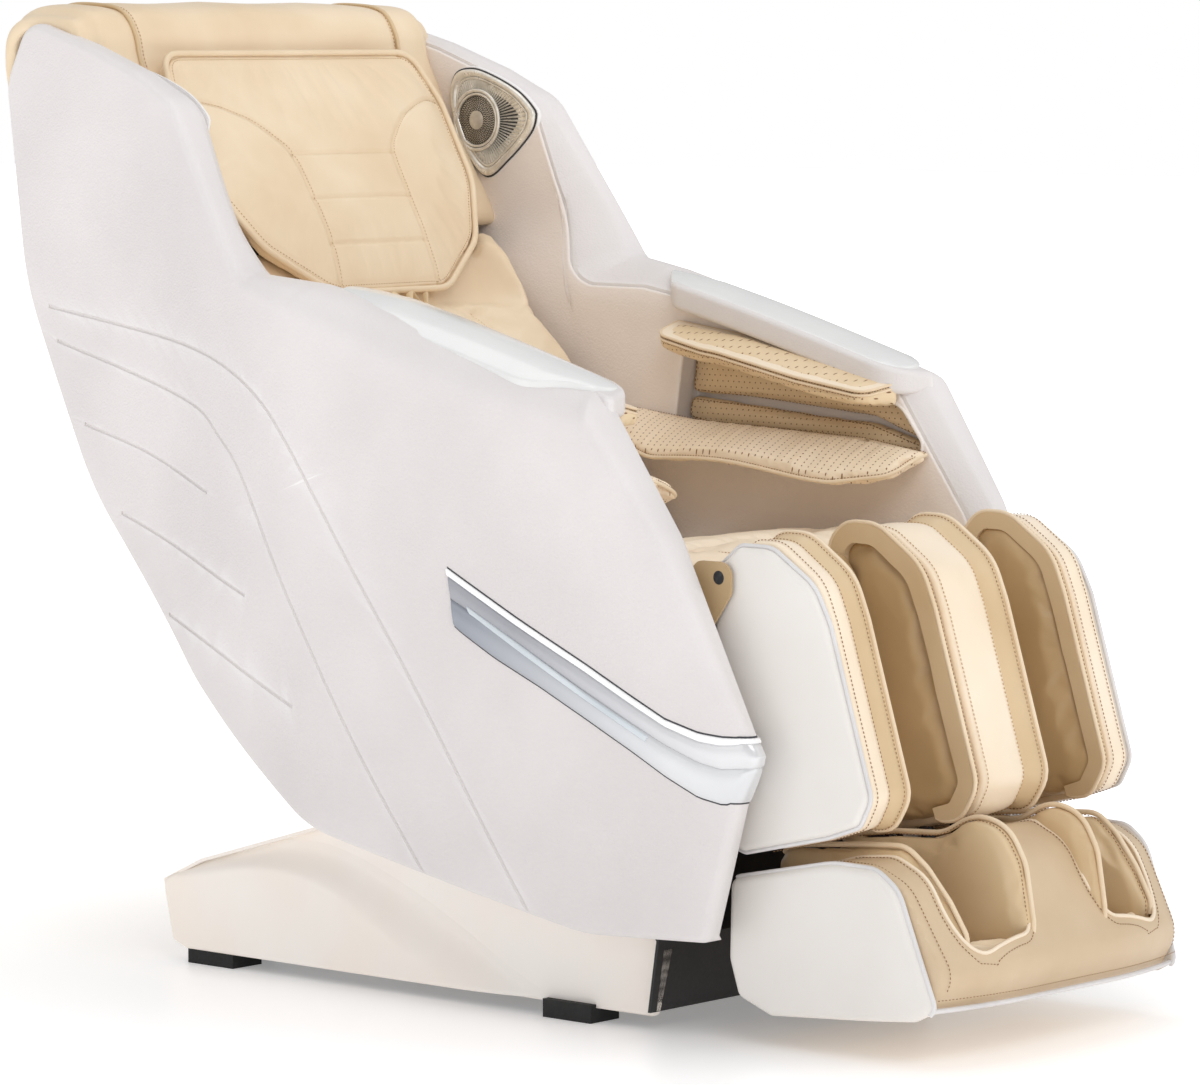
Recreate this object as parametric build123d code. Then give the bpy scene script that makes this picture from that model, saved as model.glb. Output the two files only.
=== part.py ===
"""Massage chair: a tilting padded capsule on a floor base, with a swinging leg unit and a sliding foot unit.

Frame: +Z up, the occupant faces -Y, +X is the occupant's left. The origin is on the floor, at the middle of the
object's box. All sizes are in millimetres.
"""
import os
from math import cos, radians, sin

from build123d import *

# ---- Driving dimensions -------------------------------------------------------------------------------------

# Widths: half-widths of the layers, from the outer shell inwards.
INNER_FACE = 268.5          # inner edge of the side shells
WALL_OUT = 268.0            # inner side wall, outer face
WALL_IN = 264.0             # inner side wall, cabin face
CABIN = 262.0               # widest padding between the inner walls
WING_FACE = 300.0           # cabin face of the head wings
HOOD_HALF = 298.0
WING_LEVEL = 870.0          # height where the head wings start
SHELL_WALL = 4.0
GAP = 0.3                   # clearance between neighbours

# Side outline of the shells, as (y, z, corner radius), clockwise from the bottom front corner.
SHELL_OUTLINE = [
    (-434, 125, 12), (-486, 293, 20), (-508, 341, 8), (-385, 586, 60), (-270, 743, 20), (-26, 816, 0),
    (234, 872, 40), (386, 1060, 80), (580, 1146, 20), (640, 1160, 25), (678, 1060, 60), (640, 840, 300),
    (520, 590, 400), (333, 374, 300), (134, 212, 150), (-271, 122, 200),
]
# Half-width of the shells along y, as (half-width, y).
SHELL_PLAN = [(300, -520), (316, -440), (346, -270), (372, -26), (380, 140), (378, 250), (352, 400), (338, 580),
              (318, 740)]

ARM_TOP = [(-270, 743), (-26, 816), (234, 872)]  # the part of the outline that is the arm's top, (y, z)
ARMREST_IN = 235.0
INSET_Y = (-235, 150)
INSET_THICKNESS = 3.0

# Forearm pocket in each inner wall.
POCKET_OUTLINE = [(130, 780), (-196, 722), (-262, 700), (-312, 634), (-205, 640), (60, 655), (165, 668)]
POCKET_DEPTH = 42.0
POCKET_WALL = 3.0
POCKET_PAD = 8.0
UPPER_PAD_IN = 190.0
LOWER_PAD_IN = 170.0

# Backrest plane: where its front face starts, and its slope.
BACK_ORIGIN = (83, 490)
BACK_SLOPE = 52.0
BACK_CUSHION_DEPTH = 55.0
PILLOW_REST_S = 405.0       # above this the cushion steps back behind the pillow
RAIL_DEPTH = (115, 140)
RAIL_X = (205, 228)
CARRIAGE_S = 110.0          # height of the roller arm pivot along the back
ARM_PIVOT_DEPTH = 98.0
ROLLER_DEPTH = 88.0
ROLLER_REACH = 55.0         # from the arm pivot to each roller
ROLLER_R = 20.0
FIT = 0.08                  # radial clearance of the running fits

# Capsule tilt pivot, leg pivot, and the two actuators.
TILT_PIVOT = (36, 330)
TILT_PIN_R = 12.0
LEG_PIVOT = (-412, 538)
LEG_PIN_R = 8.0
TILT_ACTUATOR_X = 90.0
TILT_ACTUATOR_FOOT = (-120, 100)
TILT_ACTUATOR_LUG = (-150, 374)
LEG_ACTUATOR_FOOT = (-100, 290)
LEG_ACTUATOR_LUG = (-402, 400)
ACTUATOR_R = 24.0
ROD_R = 10.0
ROD_EYE_R = 14.0
EYE_PIN_R = 6.0

# Leg unit side outline, (y, z, radius), and its layers across x.
LEG_REAR = -425.0
LEG_OUTLINE = [
    (-396, 236, 8), (-396, 545, 30), (-432, 575, 18), (-478, 575, 30), (-540, 535, 40), (-562, 493, 60),
    (-622, 300, 16), (-606, 268, 12), (-560, 252, 60), (-440, 224, 10),
]
LEG_SIDE = (244, 258)
LEG_PLATE = (238.3, 243.7)
LEG_PAD = (185, 238)
LEG_DIVIDER = 62.0

# Foot unit side outline, and its layers across x.
FOOT_OUTLINE = [
    (-412, 98, 30), (-414, 192, 14), (-562, 223, 120), (-617, 223, 30), (-668, 203, 40), (-731.9, 104, 24),
    (-699, 58, 14), (-474, 39, 20), (-426, 55, 14),
]
FOOT_SIDE = (236, 250)
FOOT_SLIDE = (-0.302, -0.9533)  # direction of the foot slide in (y, z)
RECESS_X = (52, 200)
RECESS_Y = (-650, -460)
RECESS_FLOOR = 60.0
RECESS_LIP = 138.0          # height of the recess's front lip
FOOT_ROLLERS = {"foot_roller_front": -606.0, "foot_roller_rear": -530.0}
FOOT_ROLLER_Z = 84.0
FOOT_SHAFT_R = 8.0
FOOT_ROD_X = 28.0
FOOT_ROD_START = (-540, 205)
FOOT_ROD_LENGTH = 255.0

# Base.
BASE_HALF = 262.0
BASE_WALL = 4.0
BASE_OUTLINE = [(-305, 18), (454, 18), (478, 27), (495, 102), (430, 133), (217, 196), (0, 215), (-240, 215),
                (-319, 110)]
FOOT_PAD_Y = ((-212, -137), (377, 455))
FOOT_PAD_HEIGHT = 22.0
RAIL_TOP = 62.0
WHEEL_Y, WHEEL_Z, WHEEL_R, WHEEL_AXLE_R = 432.0, 24.0, 22.0, 5.0
SWITCH_X, SWITCH_Y, SWITCH_Z = -105.0, 482.0, 66.0

# ---- Helpers ------------------------------------------------------------------------------------------------


def outline(points):
    """A closed face from (y, z) or (y, z, corner radius) points."""
    corners = [(p[0], p[1]) for p in points]
    rounds = [p[2] if len(p) > 2 else 0 for p in points]
    return make_face(FilletPolyline(*corners, radius=rounds, close=True))


def prism(face, x_start, x_end):
    """A (y, z) face extruded along x."""
    return extrude(Plane.YZ.offset(x_start) * face, amount=x_end - x_start)


def block(x, y, z):
    """A box from its (low, high) extents."""
    size = [side[1] - side[0] for side in (x, y, z)]
    middle = [(side[0] + side[1]) / 2 for side in (x, y, z)]
    return Pos(*middle) * Box(*size)


def x_cylinder(x_start, x_end, centre, radius):
    """A cylinder along x, around a (y, z) centre."""
    place = Pos((x_start + x_end) / 2, centre[0], centre[1]) * Rot(0, 90, 0)
    return place * Cylinder(radius, x_end - x_start)


BACK = Plane(
    origin=(0, *BACK_ORIGIN),
    x_dir=(1, 0, 0),
    z_dir=(0, -sin(radians(BACK_SLOPE)), cos(radians(BACK_SLOPE))),
).location


def back_block(x, s, depth):
    """A box in the backrest's frame: s runs up the back, depth goes into it from the front face."""
    return BACK * block(x, s, (-depth[1], -depth[0]))


def back_cylinder(x_start, x_end, s, depth, radius):
    """A cylinder along x in the backrest's frame."""
    return BACK * x_cylinder(x_start, x_end, (s, -depth), radius)


def rod_frame(x, start, end):
    """The location whose local z runs from one (y, z) point to another, with the length."""
    run = Vector(0, end[0] - start[0], end[1] - start[1])
    return Plane(origin=(x, *start), x_dir=(1, 0, 0), z_dir=run).location, run.length


def mirrored(shape):
    return mirror(shape, about=Plane.YZ)


def save(name, *shapes):
    """Write one node from one or more shapes, each kept as separate solids."""
    solids = [solid for shape in shapes for solid in shape.solids()]
    export_step(solids[0] if len(solids) == 1 else Compound(solids), f"parts/{name}.step")


def save_pair(name, *shapes):
    """Write one node that holds shapes and their mirror images."""
    save(name, *shapes, *[mirrored(shape) for shape in shapes])


def save_sides(name, shape):
    """Write a left node (+x) and its mirrored right node (-x)."""
    save(f"{name}_left", shape)
    save(f"{name}_right", mirrored(shape))


def arm_top(y, drop=0.0):
    """The (y, z) point on the arm's top line at y, lowered by drop."""
    front, middle, rear = ARM_TOP
    start, end = (front, middle) if y < middle[0] else (middle, rear)
    return y, start[1] + (y - start[0]) * (end[1] - start[1]) / (end[0] - start[0]) - drop


# ---- Base ---------------------------------------------------------------------------------------------------


def base_frame():
    rails = [block((205, 235), (-280, 440), (FOOT_PAD_HEIGHT, RAIL_TOP))]
    posts = [block((205, 235), y, (RAIL_TOP, 100)) for y in ((-190, -160), (180, 210))]
    slide_bars = [block((205, 235), (-200, 250), (100, 130))]
    sides = rails + posts + slide_bars
    cross = [block((-205, 205), y, (30, RAIL_TOP)) for y in ((-280, -250), (-140, -100), (380, 410))]
    lug = block((-14, 14), (-14, 14), (-38, 12))
    lugs = [Pos(x, *TILT_ACTUATOR_FOOT) * lug & block((x - 4, x + 4), (-200, 0), (0, 200))
            for x in (TILT_ACTUATOR_X - 36, TILT_ACTUATOR_X + 36)]
    pin = x_cylinder(TILT_ACTUATOR_X - 32, TILT_ACTUATOR_X + 32, TILT_ACTUATOR_FOOT, EYE_PIN_R)
    axle = x_cylinder(130, 195, (WHEEL_Y, WHEEL_Z), WHEEL_AXLE_R)
    for x in (130, 190):
        axle += block((x, x + 5), (410, 444), (14, RAIL_TOP))
    save("base_frame", *sides, *[mirrored(side) for side in sides], *cross, *lugs, pin, axle, mirrored(axle))


def base_covers():
    side = prism(outline(BASE_OUTLINE), BASE_HALF - BASE_WALL, BASE_HALF)
    save_sides("base_cover", side)
    inner = BASE_HALF - BASE_WALL
    face = outline(BASE_OUTLINE)
    ring = prism(face - offset(face, amount=-BASE_WALL), -inner, inner)
    rear = ring & block((-300, 300), (200, 500), (24, 300))
    inlet_hole = block((-165, -121), (440, 520), (48, 84))
    switch_hole = block((SWITCH_X - 10, SWITCH_X + 10), (440, 520), (SWITCH_Z - 16, SWITCH_Z + 16))
    save("base_cover_rear", rear - inlet_hole - switch_hole)
    save("base_cover_front", ring & block((-300, 300), (-330, -200), (24, 205)))


def rubber_feet():
    feet = [block((205, 256), y, (0, FOOT_PAD_HEIGHT)) for y in FOOT_PAD_Y]
    save_pair("rubber_feet", *feet)


def transport_wheels():
    centre = (WHEEL_Y, WHEEL_Z)
    wheel = x_cylinder(140, 185, centre, WHEEL_R) - x_cylinder(139, 186, centre, WHEEL_AXLE_R + FIT)
    save_pair("transport_wheels", wheel)


def electrics():
    box = fillet(block((-190, -70), (290, 378), (RAIL_TOP + 4, 120)).edges().filter_by(Axis.Z), 8)
    save("control_box", box)
    inlet = block((-164, -122), (455, 490), (49, 83)) - block((-155, -131), (475, 500), (57, 75))
    save("power_inlet", inlet)
    rocker = block((-8, 8), (-10, 6), (-11, 11)) + x_cylinder(-8, 8, (6, 0), 11)
    save("power_switch", Pos(SWITCH_X, SWITCH_Y, SWITCH_Z) * (rocker & x_cylinder(-8, 8, (0, 0), 13)))
    pump_body = block((40, 180), (220, 350), (RAIL_TOP + 4, 125))
    nozzle = x_cylinder(20, 40, (285, 95), 9)
    save("air_pump", pump_body + nozzle)


def slide_frame():
    """The carriage that slides forward on the base and carries the tilt pivot."""
    side = block((205, 235), (-90, 150), (130 + GAP, 160))
    plate_face = outline([(-60, 160, 0), (TILT_PIVOT[0] - 24, 352, 22), (TILT_PIVOT[0] + 24, 352, 22),
                          (130, 160, 0)])
    plate = prism(plate_face, 222, 232)
    pin = x_cylinder(232, 250, TILT_PIVOT, TILT_PIN_R)
    cross = block((-205, 205), (100, 130), (130 + GAP, 160))
    save("slide_frame", side, plate, mirrored(side), mirrored(plate), cross)
    save_pair("tilt_pins", pin)


# ---- Capsule structure --------------------------------------------------------------------------------------


def seat_frame():
    rail = block((229.5, 259.5), (-345, 85), (400, 430))
    hanger = outline([(0, 400, 0), (TILT_PIVOT[0] - 26, 306, 24), (TILT_PIVOT[0] + 26, 306, 24), (76, 400, 0)])
    bracket = prism(hanger, 236, 246) - x_cylinder(230, 252, TILT_PIVOT, TILT_PIN_R + FIT)
    leg_plate = outline([(-240, 400, 0), (-240, 430, 0), (LEG_PIVOT[0] + 30, LEG_PIVOT[1] + 18, 14),
                         (LEG_PIVOT[0] - 18, LEG_PIVOT[1] + 18, 17), (LEG_PIVOT[0] - 18, LEG_PIVOT[1] - 18, 17),
                         (-345, 400, 20)])
    hinge_plate = prism(leg_plate, 259.5, 263.5)
    hinge_plate -= x_cylinder(258, 265, LEG_PIVOT, LEG_PIN_R + FIT)
    gusset = prism(outline([(40, 400), (40, 430), (112, 430), (192, 532), (228, 504), (186, 372)]), 259.5, 263.5)
    sides = [rail, bracket, hinge_plate, gusset]
    cross = [block((-229.5, 229.5), y, (400, 430)) for y in ((-250, -220), (-165, -135), (40, 70))]
    clevis = [block((x - 3, x + 3), (-168, -132), (352, 400))
              for x in (TILT_ACTUATOR_X - 16, TILT_ACTUATOR_X + 16)]
    hangers = [block((x - 3, x + 3), (-100 - 14, -100 + 14), (276, 345)) for x in (-30, 30)]
    beam = block((-45, 45), (-114, -86), (345, 375))
    drops = [block((x, x + 14), (-114, -86), (375, 400)) for x in (31, -45)]
    beam_top = block((-229.5, 229.5), (-114, -86), (400, 430))
    pin = x_cylinder(-27, 27, LEG_ACTUATOR_FOOT, EYE_PIN_R)
    save("seat_frame", *sides, *[mirrored(side) for side in sides], *cross, *clevis, *hangers, beam, *drops,
         beam_top, pin)


def back_frame():
    side = back_block((RAIL_X[1], 259.5), (-30, 620), (105, 150))
    cross = [back_block((-RAIL_X[1], RAIL_X[1]), s, (105, 150)) for s in ((-30, 0), (590, 620))]
    save("back_frame", side, mirrored(side), *cross)
    save_pair("guide_rails", back_block(RAIL_X, (0, 590), RAIL_DEPTH))


def plan_body(shift):
    """Everything inside the shells' plan curve on the +x side, moved outwards by shift."""
    curve = Spline(*[(x + shift, y) for x, y in SHELL_PLAN])
    ends = Polyline(curve @ 1, (0, SHELL_PLAN[-1][1]), (0, SHELL_PLAN[0][1]), curve @ 0)
    return extrude(make_face(curve + ends), amount=1300)


def shells():
    side = outline(SHELL_OUTLINE)
    wing = block((0, WING_FACE), (-600, 900), (WING_LEVEL, 1400))
    cavity_wing = block((0, WING_FACE + SHELL_WALL), (-600, 900), (WING_LEVEL - SHELL_WALL, 1400))
    body = prism(side, INNER_FACE, 420) & plan_body(0)
    body -= wing
    cavity = prism(offset(side, amount=-SHELL_WALL), INNER_FACE - 10, 420) & plan_body(-SHELL_WALL)
    cavity -= cavity_wing
    save_sides("shell", body - cavity)


def inner_walls():
    """Cabin-side walls, each with a forearm pocket liner."""
    side = offset(outline(SHELL_OUTLINE), amount=-SHELL_WALL - 2)
    plate = prism(side, WALL_IN, WALL_OUT) & block((0, 400), (-600, 900), (0, WING_LEVEL - SHELL_WALL - GAP))
    pocket = outline(POCKET_OUTLINE)
    liner = prism(offset(pocket, amount=POCKET_WALL), WALL_IN, WALL_IN + POCKET_DEPTH + POCKET_WALL)
    save_sides("inner_wall", plate + liner - prism(pocket, WALL_IN - 1, WALL_IN + POCKET_DEPTH))
    band = offset(pocket, amount=-2)
    back = WALL_IN + POCKET_DEPTH
    save_pair("arm_back_pads", prism(band, back - POCKET_PAD, back - GAP))


def armrests():
    middle = ARM_TOP[1][0]
    bar = outline([arm_top(-262), arm_top(middle), arm_top(96), arm_top(96, 44), arm_top(middle, 34),
                   arm_top(-262, 17)])
    save_sides("armrest", prism(bar, ARMREST_IN, WALL_IN - GAP))
    stations = (INSET_Y[0], middle, INSET_Y[1])
    strip = outline([arm_top(y) for y in stations] + [arm_top(y, -INSET_THICKNESS) for y in reversed(stations)])
    save_pair("armrest_insets", prism(strip, 240, 340))


def arm_pads():
    upper = outline([(-250, 730.3, 6), (-26, 781.5, 0), (88, 795.5, 6), (88, 776, 8), (-26, 744, 0), (-170, 716, 0),
                     (-252, 706, 8)])
    save_pair("upper_arm_pads", prism(upper, UPPER_PAD_IN, WALL_IN - GAP))
    lower = outline([(-308, 590, 10), (-314, 622, 14), (-205, 636, 0), (60, 646, 0), (120, 660, 10), (92, 612, 20),
                     (40, 585, 10)])
    save_pair("lower_arm_pads", prism(lower, LOWER_PAD_IN, WALL_IN - GAP))


def trim():
    """Bright strip, light bar and blade over the lower front of each shell."""
    strip = outline([(-92, 536), (-267, 464), (-388, 416), (-478, 384), (-509, 362), (-509, 345), (-388, 382),
                     (-267, 428), (-92, 514)])
    light = outline([(-92, 512), (-267, 426), (-388, 380), (-509, 343), (-507, 331), (-388, 364), (-267, 410),
                     (-94, 504)])
    blade = outline([(-95, 502), (-267, 408), (-388, 362), (-507, 329), (-486, 302), (-388, 324), (-267, 370),
                     (-144, 439), (-104, 471)])
    skin = plan_body(3 + GAP) - plan_body(GAP)
    for name, face in (("trim_strips", strip), ("light_bars", light), ("trim_blades", blade)):
        save_pair(name, prism(face, 250, 420) & skin & block((INNER_FACE, 400), (-520, 0), (250, 600)))


def speakers():
    centre = (468, 1040)
    bezel = outline([(372, 1050, 6), (396, 1008, 20), (452, 972, 8), (500, 1052, 60), (512, 1096, 8), (485, 1107, 8),
                     (447, 1102, 30), (408, 1088, 20)])
    ring = prism(bezel, WING_FACE - 7, WING_FACE - 0.1) - x_cylinder(280, 310, centre, 31)
    save_pair("speaker_bezels", ring)
    save_pair("speaker_grilles", x_cylinder(WING_FACE - 9, WING_FACE - 0.1, centre, 30.5))


# ---- Capsule padding ----------------------------------------------------------------------------------------


def padding():
    seat = outline([(70, 432, 10), (70, 512, 10), (-173, 545, 0), (-345, 562, 0), (-361, 548, 14), (-361, 470, 10),
                    (-340, 432, 10)])
    save("seat_cushion", prism(seat, -258.8, 258.8))
    lower = back_block((-CABIN, CABIN), (22, PILLOW_REST_S), (0, BACK_CUSHION_DEPTH))
    upper = back_block((-CABIN, CABIN), (PILLOW_REST_S, 485), (24, BACK_CUSHION_DEPTH))
    save("back_cushion", lower + upper)
    hood = outline([
        (405, 882), (434, 925, 30), (552, 1118, 20), (558, 1168, 12), (590, 1193, 20), (690, 1191, 30),
        (727, 1150, 30), (727, 1080, 60), (700, 1004), (668, 1004), (697, 1085, 40), (697, 1140, 10),
        (680, 1161, 10), (604, 1163, 8), (588, 1150, 8), (580, 1100, 12), (460, 915, 20), (440, 882),
    ])
    save("hood", prism(hood, -HOOD_HALF, HOOD_HALF))
    side = outline(SHELL_OUTLINE)
    strip = offset(side, amount=-8) - offset(side, amount=-14)
    lower = prism(strip, -CABIN, CABIN) & (block((-300, 300), (345, 700), (395, 700))
                                           + block((-300, 300), (500, 700), (700, WING_LEVEL)))
    upper = prism(strip, -HOOD_HALF, HOOD_HALF) & block((-300, 300), (500, 700), (WING_LEVEL, 1000))
    save("rear_panel", lower + upper)


def head_pillow():
    slope = radians(58.7)
    place = Plane(origin=(0, 338, 838), x_dir=(1, 0, 0), z_dir=(0, -sin(slope), cos(slope)))
    face = FilletPolyline((-140, 0), (140, 0), (216, 92), (220, 250), (206, 346), (-206, 346), (-220, 250),
                          (-216, 92), radius=[30, 30, 60, 80, 24, 24, 80, 60], close=True)
    save("head_pillow", extrude(place * make_face(face), amount=-34))


# ---- Massage carriage ---------------------------------------------------------------------------------------


def carriage():
    beam = back_block((-190, 190), (85, 135), (110, 150))
    shaft = back_cylinder(-124, 124, CARRIAGE_S, ARM_PIVOT_DEPTH, 5)
    brackets = [back_block((x, x + 12), (102, 118), (90, 110)) for x in (-12, 58, -70)]
    frame = beam + shaft
    for bracket in brackets:
        frame += bracket
    save("carriage_frame", frame)
    shoe = back_block((190, 226), (70, 150), (109, 146))
    shoe -= back_block((RAIL_X[0] - GAP, 230), (60, 160), (RAIL_DEPTH[0] - GAP, RAIL_DEPTH[1] + GAP))
    save_pair("guide_shoes", shoe)
    motor = back_cylinder(-80, 80, CARRIAGE_S, 181, 30)
    gearbox = back_block((80, 130), (80, 140), (152, 212))
    save("knead_motor", motor + gearbox + back_block((-60, 60), (95, 125), (150, 170)))
    for side, label in ((1, "left"), (-1, "right")):
        inner, outer = 84 * side, 94 * side
        low, high = min(inner, outer), max(inner, outer)
        arm = back_block((low, high), (CARRIAGE_S - 62, CARRIAGE_S + 62), (ROLLER_DEPTH - 7, ROLLER_DEPTH + 16))
        arm -= back_cylinder(low - 1, high + 1, CARRIAGE_S, ARM_PIVOT_DEPTH, 5 + FIT)
        for end in (-1, 1):
            s = CARRIAGE_S + end * ROLLER_REACH
            reach = sorted((outer, outer + 27 * side))
            arm += back_cylinder(*reach, s, ROLLER_DEPTH, 4)
            wide = sorted((outer + 1.5 * side, outer + 25.5 * side))
            roller = back_cylinder(*wide, s, ROLLER_DEPTH, ROLLER_R)
            roller -= back_cylinder(wide[0] - 1, wide[1] + 1, s, ROLLER_DEPTH, 4 + FIT)
            save(f"roller_{'upper' if end > 0 else 'lower'}_{label}", roller)
        save(f"roller_arm_{label}", arm)


# ---- Leg unit -----------------------------------------------------------------------------------------------


def leg_unit():
    face = outline(LEG_OUTLINE)
    front = block((-300, 300), (-700, LEG_REAR), (0, 700))
    pin_hole = x_cylinder(LEG_SIDE[0] - 1, LEG_SIDE[1] + 1, LEG_PIVOT, LEG_PIN_R + GAP)
    save_pair("calf_side_panels", prism(face, *LEG_SIDE) - pin_hole)
    save_pair("calf_outer_pads", prism(face, *LEG_PAD) & front)
    guide_space = prism(outline([(-420, 200), (-566, 200), (-566, 290), (-512, 470), (-420, 470)]), -47, 47)
    save("calf_divider", (prism(face, -LEG_DIVIDER, LEG_DIVIDER) & front) - guide_space)
    back_pad = outline([(LEG_REAR, 240, 6), (-505, 252, 10), (-470, 520, 30), (-440, 556, 8), (LEG_REAR, 556, 0)])
    save_pair("calf_back_pads", prism(back_pad, LEG_DIVIDER + GAP, LEG_PAD[0] - GAP))


def leg_frame():
    plate_face = outline([(-400, 260, 0), (-400, 545, 10), (-430, 560, 10), (-445, 260, 0)])
    plate = prism(plate_face, *LEG_PLATE)
    pin = x_cylinder(LEG_PLATE[1], 263, LEG_PIVOT, LEG_PIN_R)
    inner = LEG_PLATE[0]
    cross = [block((-inner, inner), (LEG_REAR, -400), z) for z in ((255, 290), (330, 360), (470, 500))]
    lugs = [block((x - 3, x + 3), (LEG_REAR, -388), (360, 470)) for x in (-18, 18)]
    start, run = FOOT_ROD_START, FOOT_SLIDE
    end = (start[0] - run[0] * FOOT_ROD_LENGTH, start[1] - run[1] * FOOT_ROD_LENGTH)
    blocks = []
    for y, z in (((-552, LEG_REAR), (258, 288)), ((-528, LEG_REAR), (330, 360))):
        guide = block((-46, 46), y, z)
        for x in (-FOOT_ROD_X, FOOT_ROD_X):
            place, length = rod_frame(x, start, end)
            guide -= place * Pos(0, 0, length / 2) * Cylinder(LEG_PIN_R + FIT, length + 40)
        blocks.append(guide)
    plate += pin
    save("leg_frame", plate, mirrored(plate), *cross, *lugs, *blocks)


# ---- Foot unit ----------------------------------------------------------------------------------------------


def foot_unit():
    face = outline(FOOT_OUTLINE)
    inner = FOOT_SIDE[0] - GAP
    save_pair("foot_side_panels", prism(face, *FOOT_SIDE))
    cover = prism(face, -inner, inner)
    recess = block(RECESS_X, RECESS_Y, (RECESS_FLOOR, 300)) + block(RECESS_X, (-740, -640), (RECESS_LIP, 300))
    frame_slot = block((-47, 47), (-564, -498), (150, 300))
    cover -= recess
    cover -= mirrored(recess)
    cover -= frame_slot
    for y in FOOT_ROLLERS.values():
        cover -= x_cylinder(-216, 216, (y, FOOT_ROLLER_Z), FOOT_SHAFT_R + FIT)
    save("foot_cover", cover)
    pad_top = 205
    pads = [block((RECESS_X[0] + GAP, RECESS_X[0] + 12), (-625, -480), (112, pad_top)),
            block((RECESS_X[1] - 12, RECESS_X[1] - GAP), (-625, -480), (112, pad_top))]
    save_pair("foot_pads", *pads)


def foot_frame():
    start, run = FOOT_ROD_START, FOOT_SLIDE
    end = (start[0] - run[0] * FOOT_ROD_LENGTH, start[1] - run[1] * FOOT_ROD_LENGTH)
    low = (start[0] + run[0] * 30, start[1] + run[1] * 30)
    rods = []
    for x in (-FOOT_ROD_X, FOOT_ROD_X):
        place, length = rod_frame(x, low, end)
        rods.append(place * Pos(0, 0, length / 2) * Cylinder(LEG_PIN_R, length))
    yoke = block((-46, 46), (-555, -501), (151, 181))
    save("foot_frame", yoke, rods[0] - yoke, rods[1] - yoke)


def foot_rollers():
    for name, y in FOOT_ROLLERS.items():
        roller = x_cylinder(-215, 215, (y, FOOT_ROLLER_Z), FOOT_SHAFT_R)
        for x in (72, 108, 144):
            for side in (-1, 1):
                knob = x_cylinder(x * side - 12, x * side + 12, (y, FOOT_ROLLER_Z), 19)
                roller += chamfer(knob.edges(), 5)
        save(name, roller)


# ---- Actuators ----------------------------------------------------------------------------------------------


def actuator(name, x, start, end, body_length, rod_start):
    """A linear actuator: a housing that swings on a pin at its foot, and a rod that slides out of it."""
    place, length = rod_frame(x, start, end)
    housing = place * Pos(0, 0, body_length / 2 + 12) * Cylinder(ACTUATOR_R, body_length - 24)
    housing += place * Pos(0, 0, 8) * Box(36, 22, 34)
    housing -= place * Pos(0, 0, 20 + body_length / 2) * Cylinder(ROD_R + 0.1, body_length)
    housing -= x_cylinder(x - 40, x + 40, start, EYE_PIN_R + FIT)
    save(f"{name}_actuator", housing)
    rod = place * Pos(0, 0, (rod_start + length) / 2) * Cylinder(ROD_R, length - rod_start)
    eye = x_cylinder(x - 9, x + 9, end, ROD_EYE_R) - x_cylinder(x - 10, x + 10, end, EYE_PIN_R)
    rod -= x_cylinder(x - 12, x + 12, end, ROD_EYE_R - 1)
    save(f"{name}_rod", rod + eye)


# ---- Build --------------------------------------------------------------------------------------------------

os.makedirs("parts", exist_ok=True)
base_frame()
base_covers()
rubber_feet()
transport_wheels()
electrics()
slide_frame()
seat_frame()
back_frame()
shells()
inner_walls()
armrests()
arm_pads()
trim()
speakers()
padding()
head_pillow()
carriage()
leg_unit()
leg_frame()
foot_unit()
foot_frame()
foot_rollers()
actuator("tilt", TILT_ACTUATOR_X, TILT_ACTUATOR_FOOT, TILT_ACTUATOR_LUG, 190, 40)
actuator("leg", 0, LEG_ACTUATOR_FOOT, LEG_ACTUATOR_LUG, 230, 40)
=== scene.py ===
"""A massage chair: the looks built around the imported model. Sizes are in millimetres, meshes in metres."""

import math

import bmesh
import bpy
import numpy as np
from mathutils import Matrix, Vector, noise
from mathutils.bvhtree import BVHTree
from mathutils.kdtree import KDTree


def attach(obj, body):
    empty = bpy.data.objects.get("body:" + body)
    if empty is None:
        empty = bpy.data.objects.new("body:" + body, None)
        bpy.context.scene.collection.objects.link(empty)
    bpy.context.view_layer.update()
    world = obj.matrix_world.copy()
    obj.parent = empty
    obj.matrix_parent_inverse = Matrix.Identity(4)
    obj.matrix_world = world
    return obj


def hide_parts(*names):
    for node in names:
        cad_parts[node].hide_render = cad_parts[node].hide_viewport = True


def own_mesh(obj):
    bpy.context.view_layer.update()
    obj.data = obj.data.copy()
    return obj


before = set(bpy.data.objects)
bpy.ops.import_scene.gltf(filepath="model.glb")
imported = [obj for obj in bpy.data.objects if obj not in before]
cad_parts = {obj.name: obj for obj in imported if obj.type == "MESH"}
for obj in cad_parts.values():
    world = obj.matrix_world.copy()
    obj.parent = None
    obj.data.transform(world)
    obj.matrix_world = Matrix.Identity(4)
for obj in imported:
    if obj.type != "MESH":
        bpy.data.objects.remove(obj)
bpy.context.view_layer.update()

# ---- Dimensions of the frame that the pieces follow ----------------------------------------------

MM = 0.001
SIDES = ((1, "left"), (-1, "right"))
TUBE_SIDES = 8

# Side outline of the shells, (y, z, corner radius), from the bottom front corner upwards and round.
SHELL_OUTLINE = [
    (-434, 125, 12), (-481, 293, 20), (-503, 341, 8), (-380, 586, 90), (-268, 743, 45), (-150, 779, 60),
    (-26, 816, 60), (150, 856, 90), (240, 868, 26), (312, 977, 60), (372, 1069, 70), (448, 1107, 80),
    (540, 1140, 100), (655, 1172, 40), (702, 1092, 60), (664, 840, 300), (534, 590, 400), (336, 374, 300),
    (134, 212, 150), (-271, 122, 200),
]
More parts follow.
